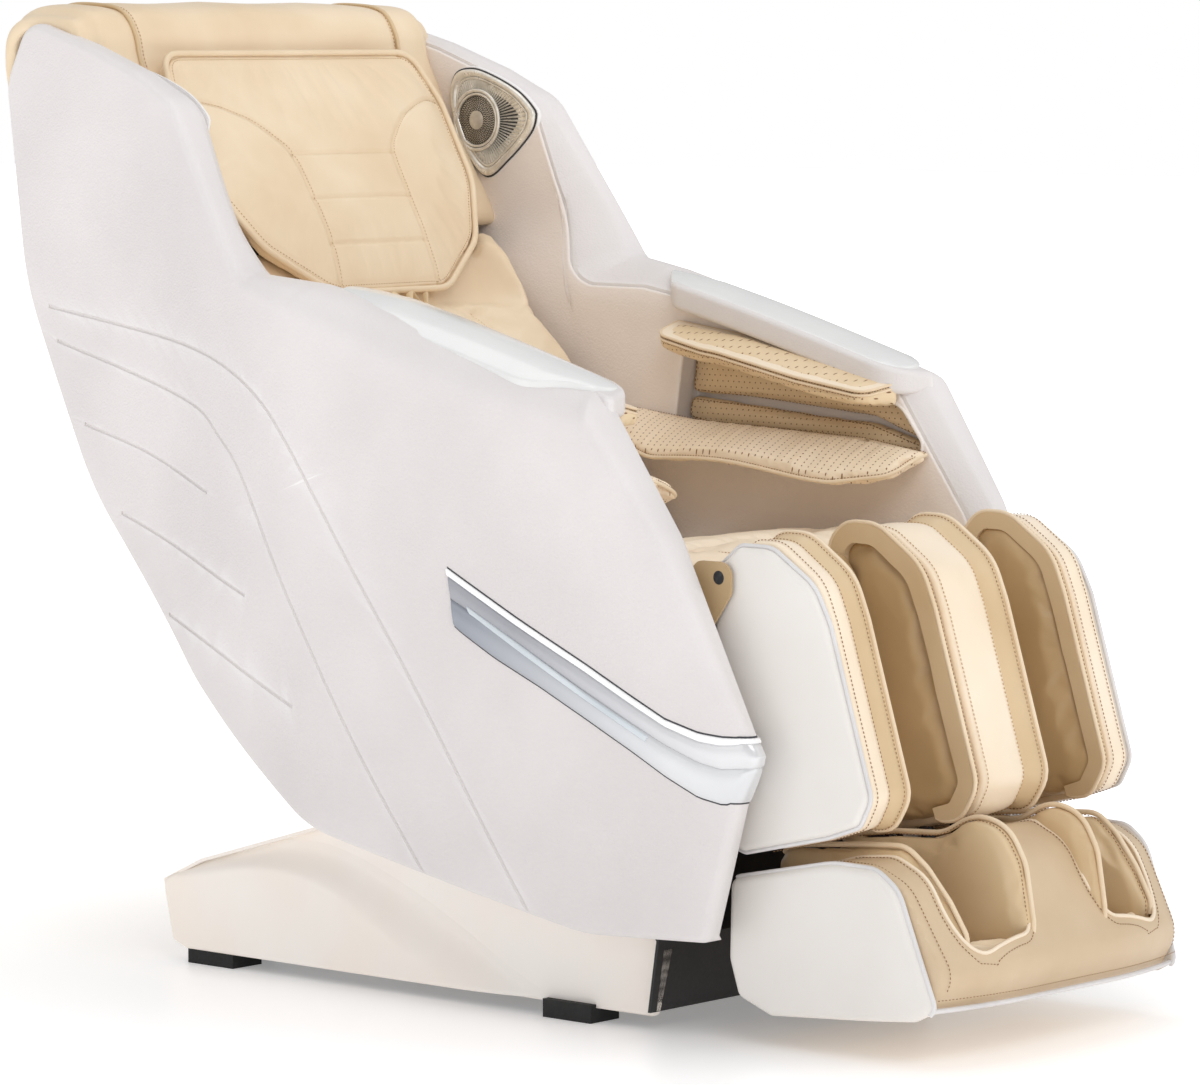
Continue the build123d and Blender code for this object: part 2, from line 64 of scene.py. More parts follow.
# The rounding of the shell's edge on each side of that outline: how deep it runs along x, and how far it
# leans in from the outline, first on the outer face and then on the cabin face, which is a flat slant.
OUTER_ROLL = [10, 10, 11, 24, 50, 78, 80, 30, 17, 15, 14, 14, 12, 9, 9, 9, 9, 9, 9, 8]
OUTER_LEAN = [11, 11, 13, 22, 45, 55, 52, 20, 12, 10, 9, 9, 9, 9, 9, 9, 9, 9, 9, 8]
INNER_ROLL = [22, 22, 22, 24, 14, 14, 14, 54, 50, 16, 12, 12, 10, 7, 7, 7, 7, 7, 7, 7]
INNER_LEAN = [22, 22, 24, 22, 10, 10, 10, 32, 42, 7, 6, 6, 6, 7, 7, 7, 7, 7, 7, 7]
SHELL_CENTRE = (200, 600)
SHELL_PLAN = [(-520, 300), (-440, 316), (-270, 346), (-26, 372), (140, 380), (250, 378), (400, 352),
              (580, 338), (740, 318)]
WALL_IN = 264.0
WING_IN = 299.5
WING_RISE = (815.0, 935.0)
WALL_THICK = 3.5

POCKET = [(88, 770, 14), (-196, 722, 60), (-262, 700, 40), (-312, 634, 16), (-205, 640, 0), (60, 655, 60),
          (104, 660, 12)]
POCKET_FLOOR = 306.0
ARM_TOP = [(-270, 743), (-26, 816), (150, 856)]

LEG_OUTLINE = [
    (-396, 236, 8), (-396, 545, 30), (-432, 575, 18), (-478, 575, 40), (-540, 535, 60), (-562, 493, 80),
    (-622, 300, 24), (-606, 268, 16), (-560, 252, 60), (-440, 224, 10),
]
FOOT_OUTLINE = [
    (-412, 98, 30), (-414, 192, 14), (-562, 223, 120), (-617, 223, 60), (-668, 203, 60), (-731.9, 104, 30),
    (-699, 58, 22), (-474, 39, 20), (-426, 55, 14),
]
BASE_OUTLINE = [(-305, 18, 8), (454, 18, 12), (478, 27, 10), (495, 102, 16), (430, 133, 30), (217, 196, 30),
                (0, 215, 30), (-240, 215, 20), (-319, 110, 30)]

# ---- Mesh helpers --------------------------------------------------------------------------------


class Outline:
    """A closed outline with rounded corners, from (a, b, radius) corners. It draws rings with its sides moved
    inwards, and all its rings have the same number of points, so that they join into one skin."""

    def __init__(self, corners, step=10.0, arc=6):
        self.corners = np.array([c[:2] for c in corners], float)
        self.radii = np.array([c[2] for c in corners], float)
        self.arc = arc
        sides = np.roll(self.corners, -1, 0) - self.corners
        lengths = np.linalg.norm(sides, axis=1)
        self.way = sides / lengths[:, None]
        following = np.roll(self.corners, -1, 0)
        area = (self.corners[:, 0] * following[:, 1] - following[:, 0] * self.corners[:, 1]).sum()
        self.turn = 1.0 if area > 0 else -1.0
        self.inward = self.turn * np.stack([-self.way[:, 1], self.way[:, 0]], 1)
        self.counts = np.maximum(1, (lengths / step).astype(int))

    def each(self, value):
        """One value for each side, from a number or a list."""
        return np.broadcast_to(np.asarray(value, float), len(self.corners))

    def ring(self, inset=0.0):
        insets = self.each(inset)
        base = self.corners + self.inward * insets[:, None]
        moved, turns = [], []
        for i in range(len(base)):
            before, after = self.way[i - 1], self.way[i]
            turn = before[0] * after[1] - before[1] * after[0]
            turns.append(turn)
            if abs(turn) < 0.2:
                shift = (self.inward[i - 1] * insets[i - 1] + self.inward[i] * insets[i]) / 2
                moved.append(self.corners[i] + shift)
            else:
                gap = base[i] - base[i - 1]
                moved.append(base[i - 1] + before * (gap[0] * after[1] - gap[1] * after[0]) / turn)
        moved = np.array(moved)
        lengths = np.linalg.norm(np.roll(moved, -1, 0) - moved, axis=1)
        starts, ends, arcs = [], [], []
        for i, turn in enumerate(turns):
            angle = abs(math.asin(max(-1.0, min(1.0, turn))))
            if self.way[i - 1] @ self.way[i] < 0:
                angle = math.pi - angle
            convex = turn * self.turn > 0
            change = (insets[i - 1] + insets[i]) / 2
            radius = max(0.5, self.radii[i] - change if convex else self.radii[i] + change)
            tangent = min(radius * math.tan(angle / 2), 0.47 * min(lengths[i - 1], lengths[i]))
            radius = tangent / max(math.tan(angle / 2), 1e-6)
            aside = math.copysign(1.0, turn) * np.array([-self.way[i - 1][1], self.way[i - 1][0]])
            start = moved[i] - self.way[i - 1] * tangent
            bend = [start + radius * (math.sin(t) * self.way[i - 1] + (1 - math.cos(t)) * aside)
                    for t in np.linspace(0, angle, self.arc + 1)]
            arcs.append(bend)
            starts.append(start)
            ends.append(bend[-1])
        points = []
        for i, bend in enumerate(arcs):
            points += bend
            following = starts[(i + 1) % len(arcs)]
            for k in range(1, self.counts[i] + 1):
                points.append(ends[i] + (following - ends[i]) * k / (self.counts[i] + 1))
        return np.array(points)

    def spread(self, value):
        """A side's value at each ring point, blended round the corners."""
        values = self.each(value)
        turns = np.roll(self.way, 1, 0)
        straight = np.abs(turns[:, 0] * self.way[:, 1] - turns[:, 1] * self.way[:, 0]) < 0.2
        shared = (np.roll(values, 1) + values) / 2
        out = []
        for i in range(len(values)):
            following = (i + 1) % len(values)
            first = shared[i] if straight[i] else values[i]
            last = shared[following] if straight[following] else values[i]
            before = shared[i] if straight[i] else values[i - 1]
            for k in range(self.arc + 1):
                share = k / self.arc
                share = share * share * (3 - 2 * share)
                out.append(before * (1 - share) + first * share)
            for k in range(1, self.counts[i] + 1):
                out.append(first + (last - first) * k / (self.counts[i] + 1))
        return np.array(out)


def make(name, points, faces, sharp=40.0):
    """A mesh object from points in millimetres, with its faces turned outwards."""
    mesh = bpy.data.meshes.new(name)
    mesh.from_pydata((np.asarray(points, float) * MM).tolist(), [], faces)
    work = bmesh.new()
    work.from_mesh(mesh)
    bmesh.ops.remove_doubles(work, verts=work.verts, dist=1e-6)
    bmesh.ops.recalc_face_normals(work, faces=work.faces)
    work.to_mesh(mesh)
    work.free()
    mesh.shade_smooth()
    mesh.set_sharp_from_angle(angle=math.radians(sharp))
    piece = bpy.data.objects.new(name, mesh)
    bpy.context.scene.collection.objects.link(piece)
    return piece


def skin_faces(loops, around, caps=True):
    """Quads between loops of points, joined round each loop, with a fan on the end loops' middles."""
    faces = []
    for k in range(loops - 1):
        low, high = k * around, (k + 1) * around
        for i in range(around):
            following = (i + 1) % around
            faces.append((low + i, low + following, high + following, high + i))
    if caps:
        first, last = loops * around, loops * around + 1
        top = (loops - 1) * around
        faces += [(i, first, (i + 1) % around) for i in range(around)]
        faces += [(top + i, top + (i + 1) % around, last) for i in range(around)]
    return faces


def loft(name, loops, sharp=40.0):
    """A closed piece through rings of points."""
    loops = [np.asarray(loop, float) for loop in loops]
    points = np.concatenate(loops + [loops[0].mean(0)[None], loops[-1].mean(0)[None]])
    return make(name, points, skin_faces(len(loops), len(loops[0])), sharp)


def level(height, ring):
    return height(ring[:, 0], ring[:, 1]) if callable(height) else np.full(len(ring), float(height))


def roll_shape(share, flat_slant):
    """A rolled edge's place at a share of its way: how far in from the outline, and how far down its face."""
    angle = math.pi / 2 * share
    inwards, down = 1 - math.sin(angle), 1 - math.cos(angle)
    if flat_slant:
        return 0.25 * inwards + 0.75 * (1 - share), 0.25 * down + 0.75 * share
    return inwards, down


def slab(name, outline, low, high, place, roll_low, roll_high, inset=0.0, centre=None, rings=5,
         crown_low=0.0, crown_high=0.0, arc=4, sharp=40.0, lean_low=None, lean_high=None, slant=False):
    """A plate between two heights over an outline, with rolled edges and crowned faces. A roll is as deep as
    it leans in, unless its lean is given; slant makes the low one flat. place turns (a, b, height) into
    points."""
    inset = outline.each(inset)
    sides = []
    for height, roll, lean, crown, sign in ((low, roll_low, lean_low, crown_low, -1),
                                            (high, roll_high, lean_high, crown_high, 1)):
        roll = outline.each(roll)
        lean = roll if lean is None else outline.each(lean)
        edge = outline.ring(inset + lean)
        middle = np.array(centre if centre is not None else edge.mean(0), float)
        loops = []
        for k in range(rings + 1):
            share = max(k, 0.03 * rings) / rings
            ring = middle + (edge - middle) * share
            rise = level(height, ring) + sign * crown * (1 - share ** 2) ** 1.2
            loops.append(place(ring[:, 0], ring[:, 1], rise))
        fall = outline.spread(roll)
        for k in range(1, arc + 1):
            inwards, down = roll_shape(k / arc, slant and sign < 0)
            ring = outline.ring(inset + lean * inwards)
            rise = level(height, ring) - sign * fall * down
            loops.append(place(ring[:, 0], ring[:, 1], rise))
        sides.append(loops)
    return loft(name, sides[0] + sides[1][::-1], sharp)


def across(side):
    """Places a (y, z) outline with its height along x, on one side of the chair."""
    return lambda a, b, h: np.stack([side * h, a, b], 1)


def upright(side):
    """Places an (x, y) outline with its height along z, on one side of the chair."""
    return lambda a, b, h: np.stack([side * a, b, h], 1)


def placed(place, path, height):
    """A path of (a, b) points, placed at one height."""
    return place(path[:, 0], path[:, 1], np.full(len(path), float(height)))


def at_x(x, path):
    """A path of (y, z) points, placed at one x."""
    return np.stack([np.full(len(path), float(x)), path[:, 0], path[:, 1]], 1)


def from_gap(path):
    """Turns a ring that has lost a part, so that it starts after its gap."""
    start = int(np.argmax(np.linalg.norm(np.diff(path, axis=0, prepend=path[-1:]), axis=1)))
    return np.roll(path, -start, 0)


def smooth(points, step=6.0, closed=False):
    """Evenly spaced points on a smooth curve through the given points."""
    points = np.asarray(points, float)
    count = len(points)
    padded = np.concatenate([points[-1:], points, points[:2]]) if closed else np.concatenate(
        [2 * points[:1] - points[1:2], points, 2 * points[-1:] - points[-2:-1]])
    spans = count if closed else count - 1
    dense = []
    for i in range(spans):
        p0, p1, p2, p3 = padded[i:i + 4]
        for t in np.linspace(0, 1, 24, endpoint=False):
            dense.append(0.5 * (2 * p1 + (p2 - p0) * t + (2 * p0 - 5 * p1 + 4 * p2 - p3) * t ** 2
                                + (3 * p1 - p0 - 3 * p2 + p3) * t ** 3))
    if not closed:
        dense.append(points[-1])
    return even(np.array(dense), step, closed)


def even(path, step=6.0, closed=False):
    """The same path with points at an even spacing."""
    path = np.asarray(path, float)
    if closed:
        path = np.concatenate([path, path[:1]])
    run = np.concatenate([[0], np.cumsum(np.linalg.norm(np.diff(path, axis=0), axis=1))])
    count = max(2, int(round(run[-1] / step)))
    at = np.linspace(0, run[-1], count + 1)
    if closed:
        at = at[:-1]
    return np.stack([np.interp(at, run, path[:, i]) for i in range(path.shape[1])], 1)


def directions(path, closed):
    ahead = np.roll(path, -1, 0) - path
    behind = path - np.roll(path, 1, 0)
    if not closed:
        ahead[-1], behind[0] = behind[-1], ahead[0]
    way = ahead + behind
    return way / np.maximum(np.linalg.norm(way, axis=1), 1e-9)[:, None]


def tube(name, path, radius, closed=True, flatten=1.0):
    """A round bead along a path."""
    path = np.asarray(path, float)
    way = directions(path, closed)
    side = np.cross(way[0], [0.31, 0.17, 0.93])
    loops = []
    for point, along in zip(path, way):
        side = side - along * (side @ along)
        side /= np.linalg.norm(side)
        up = np.cross(along, side)
        loops.append([point + radius * (math.cos(t) * side + flatten * math.sin(t) * up)
                      for t in np.linspace(0, 2 * math.pi, TUBE_SIDES, endpoint=False)])
    if closed:
        faces = join_ends(skin_faces(len(loops), TUBE_SIDES, False), loops)
        return make(name, np.concatenate(loops), faces, 60)
    return loft(name, loops, 60)


def join_ends(faces, loops):
    """Closes a run of loops into a torus, matching the last loop's points to the nearest of the first's."""
    first, last = np.asarray(loops[0]), np.asarray(loops[-1])
    around = len(first)
    distances = [np.linalg.norm(np.roll(first, -s, 0) - last, axis=1).sum() for s in range(around)]
    shift = int(np.argmin(distances))
    top = (len(loops) - 1) * around
    for i in range(around):
        a, b = (i + shift) % around, (i + 1 + shift) % around
        faces.append((top + i, top + (i + 1) % around, b, a))
    return faces


def stitches(name, path, pitch=5.0, length=3.4, radius=0.55):
    """A row of thread stitches along a path, in one mesh."""
    path = even(path, pitch)
    way = directions(path, False)
    points, faces = [], []
    for centre, along in zip(path, way):
        side = np.cross(along, [0.31, 0.17, 0.93])
        side /= np.linalg.norm(side)
        up = np.cross(along, side)
        start = len(points)
        points.append(centre - along * length / 2)
        for reach in (-0.28, 0.28):
            for t in range(5):
                angle = 2 * math.pi * t / 5
                points.append(centre + along * length * reach
                              + radius * (math.cos(angle) * side + math.sin(angle) * up))
        points.append(centre + along * length / 2)
        for t in range(5):
            a, b = start + 1 + t, start + 1 + (t + 1) % 5
            faces += [(start, b, a), (a, b, b + 5, a + 5), (start + 11, a + 5, b + 5)]
    return make(name, points, faces, 80)


def apply_modifiers(piece):
    """Keeps the mesh as its modifiers make it."""
    bpy.context.view_layer.update()
    evaluated = piece.evaluated_get(bpy.context.evaluated_depsgraph_get())
    mesh = bpy.data.meshes.new_from_object(evaluated)
    piece.modifiers.clear()
    old = piece.data
    piece.data = mesh
    bpy.data.meshes.remove(old)


def cut(piece, cutters):
    """Takes the cutters out of a piece and deletes them."""
    for cutter in cutters:
        tool = piece.modifiers.new("cut", "BOOLEAN")
        tool.operation = "DIFFERENCE"
        tool.solver = "EXACT"
        tool.object = cutter
    apply_modifiers(piece)
    for cutter in cutters:
        bpy.data.objects.remove(cutter)
    piece.data.shade_smooth()
    piece.data.set_sharp_from_angle(angle=math.radians(35.0))


def coordinates(piece):
    flat_list = np.empty(len(piece.data.vertices) * 3)
    piece.data.vertices.foreach_get("co", flat_list)
    return flat_list.reshape(-1, 3) / MM


def normals(piece):
    flat_list = np.empty(len(piece.data.vertices) * 3)
    piece.data.vertices.foreach_get("normal", flat_list)
    return flat_list.reshape(-1, 3)


def reshape(piece, points):
    piece.data.vertices.foreach_set("co", (points * MM).ravel())
    piece.data.update()
    return piece


def remesh(piece, size):
    tool = piece.modifiers.new("remesh", "REMESH")
    tool.mode = "VOXEL"
    tool.voxel_size = size * MM
    apply_modifiers(piece)


def subdivide(piece):
    tool = piece.modifiers.new("subdivide", "SUBSURF")
    tool.levels = tool.render_levels = 1
    apply_modifiers(piece)
    piece.data.shade_smooth()


def near(points, path):
    """Each point's distance to a path, and the nearest path point's number."""
    tree = KDTree(len(path))
    for number, spot in enumerate(path):
        tree.insert(spot, number)
    tree.balance()
    found = [tree.find(point) for point in points]
    return np.array([hit[2] for hit in found]), np.array([hit[1] for hit in found])


def press(piece, path, width, depth):
    """Presses a sewn seam into a piece along a path."""
    points, outward = coordinates(piece), normals(piece)
    distance, _ = near(points, even(path, 2.0))
    share = np.clip(1 - distance / width, 0, 1)
    return reshape(piece, points - outward * (depth * share ** 2)[:, None])


def puff(piece, size, pressure, cap, slack, seams=()):
    """Blows a cushion up as cloth: it swells between the seams, and no point moves more than the cap."""
    remesh(piece, size)
    rest = coordinates(piece)
    pins = piece.vertex_groups.new(name="pins")
    weight = np.zeros(len(rest))
    for seam in seams:
        distance, _ = near(rest, even(seam, 3.0))
        weight = np.maximum(weight, np.clip(1.4 - distance / (1.2 * size), 0, 1))
    for number in np.nonzero(weight)[0]:
        pins.add([int(number)], float(weight[number]), "REPLACE")
    cloth = piece.modifiers.new("cloth", "CLOTH").settings
    cloth.quality = 5
    cloth.mass = 0.3
    cloth.tension_stiffness = cloth.compression_stiffness = 15
    cloth.bending_stiffness = 0.5
    cloth.use_pressure = True
    cloth.uniform_pressure_force = pressure
    cloth.shrink_min = -slack
    cloth.effector_weights.gravity = 0
    cloth.vertex_group_mass = "pins"
    scene = bpy.context.scene
    for step in range(1, 21):
        scene.frame_set(step)
    evaluated = piece.evaluated_get(bpy.context.evaluated_depsgraph_get())
    blown = np.array([v.co for v in evaluated.data.vertices], float).reshape(-1, 3) / MM
    move = blown - rest
    length = np.linalg.norm(move, axis=1)
    move *= (np.minimum(length, cap) / np.maximum(length, 1e-9))[:, None]
    piece.modifiers.clear()
    piece.vertex_groups.clear()
    scene.frame_set(1)
    reshape(piece, rest + move)
    subdivide(piece)


def land(piece, path, towards, lift=0.0):
    """Drops a path onto a piece's surface along a direction."""
    tree = BVHTree.FromObject(piece, bpy.context.evaluated_depsgraph_get())
    towards = Vector(towards).normalized()
    landed = []
    for point in path:
        start = Vector(np.asarray(point, float) * MM) - towards * 0.25
        hit = tree.ray_cast(start, towards)[0]
        if hit is not None:
            landed.append(np.array(hit - towards * lift * MM) / MM)
    return np.array(landed)


# ---- Materials -----------------------------------------------------------------------------------


class Finish:
    """A node material, built up from the object's own coordinates."""

    def __init__(self, name, **sockets):
        self.material = bpy.data.materials.new(name)
        self.material.use_nodes = True
        self.tree = self.material.node_tree
        self.shader = self.tree.nodes["Principled BSDF"]
        for socket, value in sockets.items():
            self.shader.inputs[socket.replace("_", " ")].default_value = value
        self.place = self.add("TexCoord").outputs["Object"]
        self.height = None

    def add(self, kind, settings=(), **inputs):
        node = self.tree.nodes.new("ShaderNode" + kind)
        for key, value in dict(settings).items():
            setattr(node, key, value)
        for key, value in inputs.items():
            self.feed(node.inputs[key.replace("_", " ")], value)
        return node

    def feed(self, socket, value):
        if isinstance(value, bpy.types.NodeSocket):
            self.tree.links.new(value, socket)
        else:
            socket.default_value = value

    def math(self, operation, a, b=0.0):
        node = self.add("Math", {"operation": operation})
        self.feed(node.inputs[0], a)
        self.feed(node.inputs[1], b)
        return node.outputs[0]

    def noise(self, scale, detail=3.0, distortion=0.0):
        node = self.add("TexNoise", Vector=self.place, Scale=scale, Detail=detail, Distortion=distortion)
        return node.outputs["Fac"]

    def cells(self, scale, feature):
        node = self.add("TexVoronoi", {"feature": feature}, Vector=self.place, Scale=scale)
        return node.outputs["Distance"]

    def span(self, value, low, high, start=0.0, end=1.0):
        node = self.add("MapRange", Value=value, From_Min=low, From_Max=high, To_Min=start, To_Max=end)
        return node.outputs["Result"]

    def blend(self, share, first, second):
        node = self.add("Mix", {"data_type": "RGBA"})
        self.feed(node.inputs["Factor"], share)
        self.feed(node.inputs["A"], first)
        self.feed(node.inputs["B"], second)
        return node.outputs["Result"]

    def bump(self, height, distance, strength=1.0):
        node = self.add("Bump", Height=height, Distance=distance, Strength=strength)
        if self.height is not None:
            self.tree.links.new(self.height, node.inputs["Normal"])
        self.height = node.outputs["Normal"]
        self.feed(self.shader.inputs["Normal"], self.height)

    def set(self, socket, value):
        self.feed(self.shader.inputs[socket], value)


def tint(hex_code):
    """A linear colour from its usual six letters and digits."""
    parts = [int(hex_code[i:i + 2], 16) / 255 for i in (0, 2, 4)]
    return tuple((c / 12.92 if c <= 0.04045 else ((c + 0.055) / 1.055) ** 2.4) for c in parts) + (1.0,)


def leather(name, light, dark, roughness=0.42, dots=None):
    finish = Finish(name, IOR=1.45, Coat_Weight=0.08, Coat_Roughness=0.35, Sheen_Weight=0.06)
    tone = finish.span(finish.noise(7.0, 4.0), 0.35, 0.7)
    # Painted shade: the colour darkens towards the dark tone in creases and hollows, where the mesh's
    # pointiness is low.
    crease_shade = finish.span(finish.add("NewGeometry").outputs["Pointiness"], 0.38, 0.49, 1.0, 0.0)
    colour = finish.blend(finish.math("MULTIPLY", tone, 0.45), tint(light), tint(dark))
    colour = finish.blend(finish.math("MULTIPLY", crease_shade, 0.5), colour, tint(dark))
    if dots:
        colour = perforate(finish, colour, dots)
    finish.set("Base Color", colour)
    finish.set("Roughness", finish.span(finish.noise(55.0), 0.3, 0.7, roughness - 0.05, roughness + 0.06))
    finish.bump(finish.noise(38.0, 5.0, 0.8), 0.0007, 0.35)
    finish.bump(finish.cells(720.0, "DISTANCE_TO_EDGE"), 0.00016, 0.55)
    finish.bump(finish.noise(1400.0, 2.0), 0.00006, 0.5)
    return finish.material


def perforate(finish, colour, dots):
    """Small round holes in rows: dots is (first axis, its pitch, second axis, its pitch, stagger)."""
    first, first_pitch, second, second_pitch, stagger = dots
    parts = finish.add("SeparateXYZ", Vector=finish.place)
    row = finish.math("DIVIDE", parts.outputs[second], second_pitch * MM)
    shift = finish.math("MULTIPLY", finish.math("FLOOR", row), stagger)
    column = finish.math("ADD", finish.math("DIVIDE", parts.outputs[first], first_pitch * MM), shift)
    wide = finish.math("MULTIPLY", finish.math("SUBTRACT", finish.math("FRACT", column), 0.5), first_pitch)
    tall = finish.math("MULTIPLY", finish.math("SUBTRACT", finish.math("FRACT", row), 0.5), second_pitch)
    reach = finish.math("SQRT", finish.math("ADD", finish.math("MULTIPLY", wide, wide),
                                            finish.math("MULTIPLY", tall, tall)))
    hole = finish.span(reach, 0.75, 1.05, 1.0, 0.0)
    finish.bump(finish.math("SUBTRACT", 1.0, hole), 0.0008, 0.8)
    return finish.blend(hole, colour, tint("8A5F33"))


def moulded(name, light, dark, roughness, pebble, relief, coat=0.0, edge_highlight=0.0):
    """Grained plastic: small rounded cells over a faint cloud of tone, with a painted highlight that makes it
    a little lighter along its sharp edges.
    """
    finish = Finish(name, IOR=1.46, Coat_Weight=coat, Coat_Roughness=0.2)
    tone = finish.span(finish.noise(5.0, 3.0), 0.35, 0.65)
    # Painted highlight: where the mesh's pointiness marks a sharp edge, the colour is blended towards white.
    edge = finish.span(finish.add("NewGeometry").outputs["Pointiness"], 0.50, 0.60)
    colour = finish.blend(tone, tint(light), tint(dark))
    finish.set("Base Color", finish.blend(finish.math("MULTIPLY", edge, edge_highlight), colour, tint("FFFFFF")))
    finish.set("Roughness", finish.span(finish.noise(240.0), 0.3, 0.7, roughness - 0.05, roughness + 0.05))
    finish.bump(finish.cells(pebble, "SMOOTH_F1"), relief, 0.6)
    finish.bump(finish.noise(pebble * 0.45, 3.0), relief, 0.4)
    return finish.material


def gloss(name, light, dark, roughness, coat):
    finish = Finish(name, IOR=1.5, Coat_Weight=coat, Coat_Roughness=0.06)
    tone = finish.span(finish.noise(9.0), 0.35, 0.65)
    finish.set("Base Color", finish.blend(tone, tint(light), tint(dark)))
    finish.set("Roughness", finish.span(finish.noise(60.0), 0.3, 0.7, roughness, roughness + 0.05))
    finish.bump(finish.noise(26.0, 2.0), 0.00005, 0.4)
    return finish.material


def metal(name, light, dark, roughness, brush, metallic=1.0):
    """Satin metal with fine brush lines along x, y or z."""
    finish = Finish(name, Metallic=metallic, IOR=1.5)
    stretched = finish.add("Mapping", Vector=finish.place, Scale=brush).outputs["Vector"]
    lines = finish.add("TexNoise", Vector=stretched, Scale=1.0, Detail=3.0).outputs["Fac"]
    finish.set("Base Color", finish.blend(finish.span(lines, 0.3, 0.7), tint(light), tint(dark)))
    finish.set("Roughness", finish.span(lines, 0.3, 0.7, roughness - 0.04, roughness + 0.06))
    finish.bump(lines, 0.00004, 0.5)
    return finish.material


def thread(name, light, dark):
    finish = Finish(name, IOR=1.45, Sheen_Weight=0.3)
    tone = finish.span(finish.noise(900.0), 0.3, 0.7)
    finish.set("Base Color", finish.blend(tone, tint(light), tint(dark)))
    finish.set("Roughness", finish.span(finish.noise(500.0), 0.3, 0.7, 0.55, 0.75))
    finish.bump(finish.noise(2500.0), 0.0001, 0.6)
    return finish.material


def strip_with_painted_reflection(name, near_colour, far_colour, start, end):
    """A strip with a painted reflection: its colour turns from one tone to another along y, as the reflection
    along a chrome band would.
    """
    finish = Finish(name, IOR=1.5, Metallic=0.25, Coat_Weight=0.6, Coat_Roughness=0.08)
    parts = finish.add("SeparateXYZ", Vector=finish.place)
    share = finish.span(parts.outputs["Y"], start * MM, end * MM)
    finish.set("Base Color", finish.blend(share, tint(near_colour), tint(far_colour)))
    finish.set("Roughness", finish.span(finish.noise(50.0), 0.3, 0.7, 0.22, 0.27))
    finish.bump(finish.noise(700.0), 0.00003, 0.4)
    return finish.material


def paint(node_name, material):
    """Gives a carried-over CAD node its finish."""
    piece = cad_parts[node_name]
    if not piece.material_slots:
        piece.data.materials.append(material)
    for place in piece.material_slots:
        place.material = material


def dress(piece, material, body, slot, *replaced, padded=None):
    """Finishes a piece, makes it ride on its body and hides the CAD parts that it replaces."""
    piece.data.materials.clear()
    piece.data.materials.append(material)
    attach(piece, body)
    if replaced:
        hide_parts(*replaced)
    return piece


# The shell and wall plastics carry a painted highlight along their sharp edges.
SHELL_PLASTIC = moulded("shell_plastic", "E3DEDD", "DBD6D5", 0.46, 420.0, 0.0006, edge_highlight=0.5)
WALL_PLASTIC = moulded("wall_plastic", "F1E7E0", "EAE0D9", 0.5, 420.0, 0.0006, edge_highlight=0.5)
BASE_PLASTIC = moulded("base_plastic", "FFFAF4", "FFF5EB", 0.34, 900.0, 0.00006, 0.15)
BLACK_PLASTIC = moulded("black_plastic", "2A2A2C", "202022", 0.5, 700.0, 0.00012)
GLOSS_INSET = gloss("gloss_inset", "E9E9E8", "E3E4E3", 0.18, 0.3)
# The silver band's colour goes from light at the front to darker further back: a painted reflection.
TRIM_SILVER = strip_with_painted_reflection("trim_silver", "DEDEE0", "9A9BA2", -460, -180)
# A pure white copy of the chrome trim for its upper bevel: a painted highlight.
TRIM_BEVEL_HIGHLIGHT = gloss("trim_bevel_painted_highlight", "FFFFFF", "F6F7F9", 0.1, 0.8)
# The blade's colour likewise goes from light at the front to darker further back: a painted reflection.
TRIM_BLADE = strip_with_painted_reflection("trim_blade", "DADBDD", "8C919B", -400, -110)
LIGHT_BAR = gloss("light_bar", "D3DADF", "C6CED4", 0.2, 0.4)
PART_LINE = gloss("part_line", "3A3A40", "2C2C30", 0.4, 0.1)
SPEAKER_SILVER = metal("speaker_silver", "F4F0E8", "D8D2C6", 0.3, (60.0, 90.0, 90.0), 0.45)
SPEAKER_MESH = metal("speaker_mesh", "E2DCD0", "C6BEB0", 0.34, (60.0, 90.0, 90.0), 0.4)
SPEAKER_DARK = metal("speaker_dark", "5A544C", "38342F", 0.45, (60.0, 300.0, 300.0), 0.6)
LEATHER_BEIGE = leather("leather_beige", "EEDABD", "D6B88D")
LEATHER_CREAM = leather("leather_cream", "F8E8D2", "E6CFAC")
LEATHER_TAN = leather("leather_tan", "DCC39D", "C2A376")
# A darker copy of the tan leather for the walls, backs and divider of the leg channels: painted shade in the
# channels.
LEATHER_TAN_SHADED = leather("leather_tan_painted_shade", "C4A67B", "A5875A")
LEATHER_FOOT = leather("leather_foot", "D6BFA0", "BC9F77")
LEATHER_WHITE = leather("leather_white", "E9E5E0", "DFDAD4", 0.48)
LEATHER_DOTS_TOP = leather("leather_dots_top", "F5E2C8", "E4CAA2", 0.5, dots=("X", 5.2, "Y", 10.5, 0.0))
LEATHER_DOTS_SIDE = leather("leather_dots_side", "ECD6B3", "D5B687", 0.5, dots=("Y", 9.0, "Z", 7.0, 0.5))
PIPING_GREY = leather("piping_grey", "E4E2E2", "B9B6B8", 0.4)
THREAD_BROWN = thread("thread_brown", "A3794A", "7E5830")
THREAD_PALE = thread("thread_pale", "C9A673", "A9844F")
RUBBER = moulded("rubber_black", "242424", "1A1A1A", 0.7, 500.0, 0.0002)
FRAME_BEIGE = moulded("frame_beige", "C9AE86", "BA9F78", 0.5, 900.0, 0.00006)
FRAME_STEEL = metal("frame_steel", "4C4E52", "3C3E42", 0.5, (200.0, 200.0, 200.0), 0.7)
BRIGHT_STEEL = metal("bright_steel", "C9CCD0", "AEB2B8", 0.22, (900.0, 900.0, 60.0))
NYLON = moulded("nylon", "E8E6E0", "DCD9D2", 0.5, 900.0, 0.00005)
BACK_LEATHER = leather("back_leather", "E9D5B6", "D3B68A", 0.46)


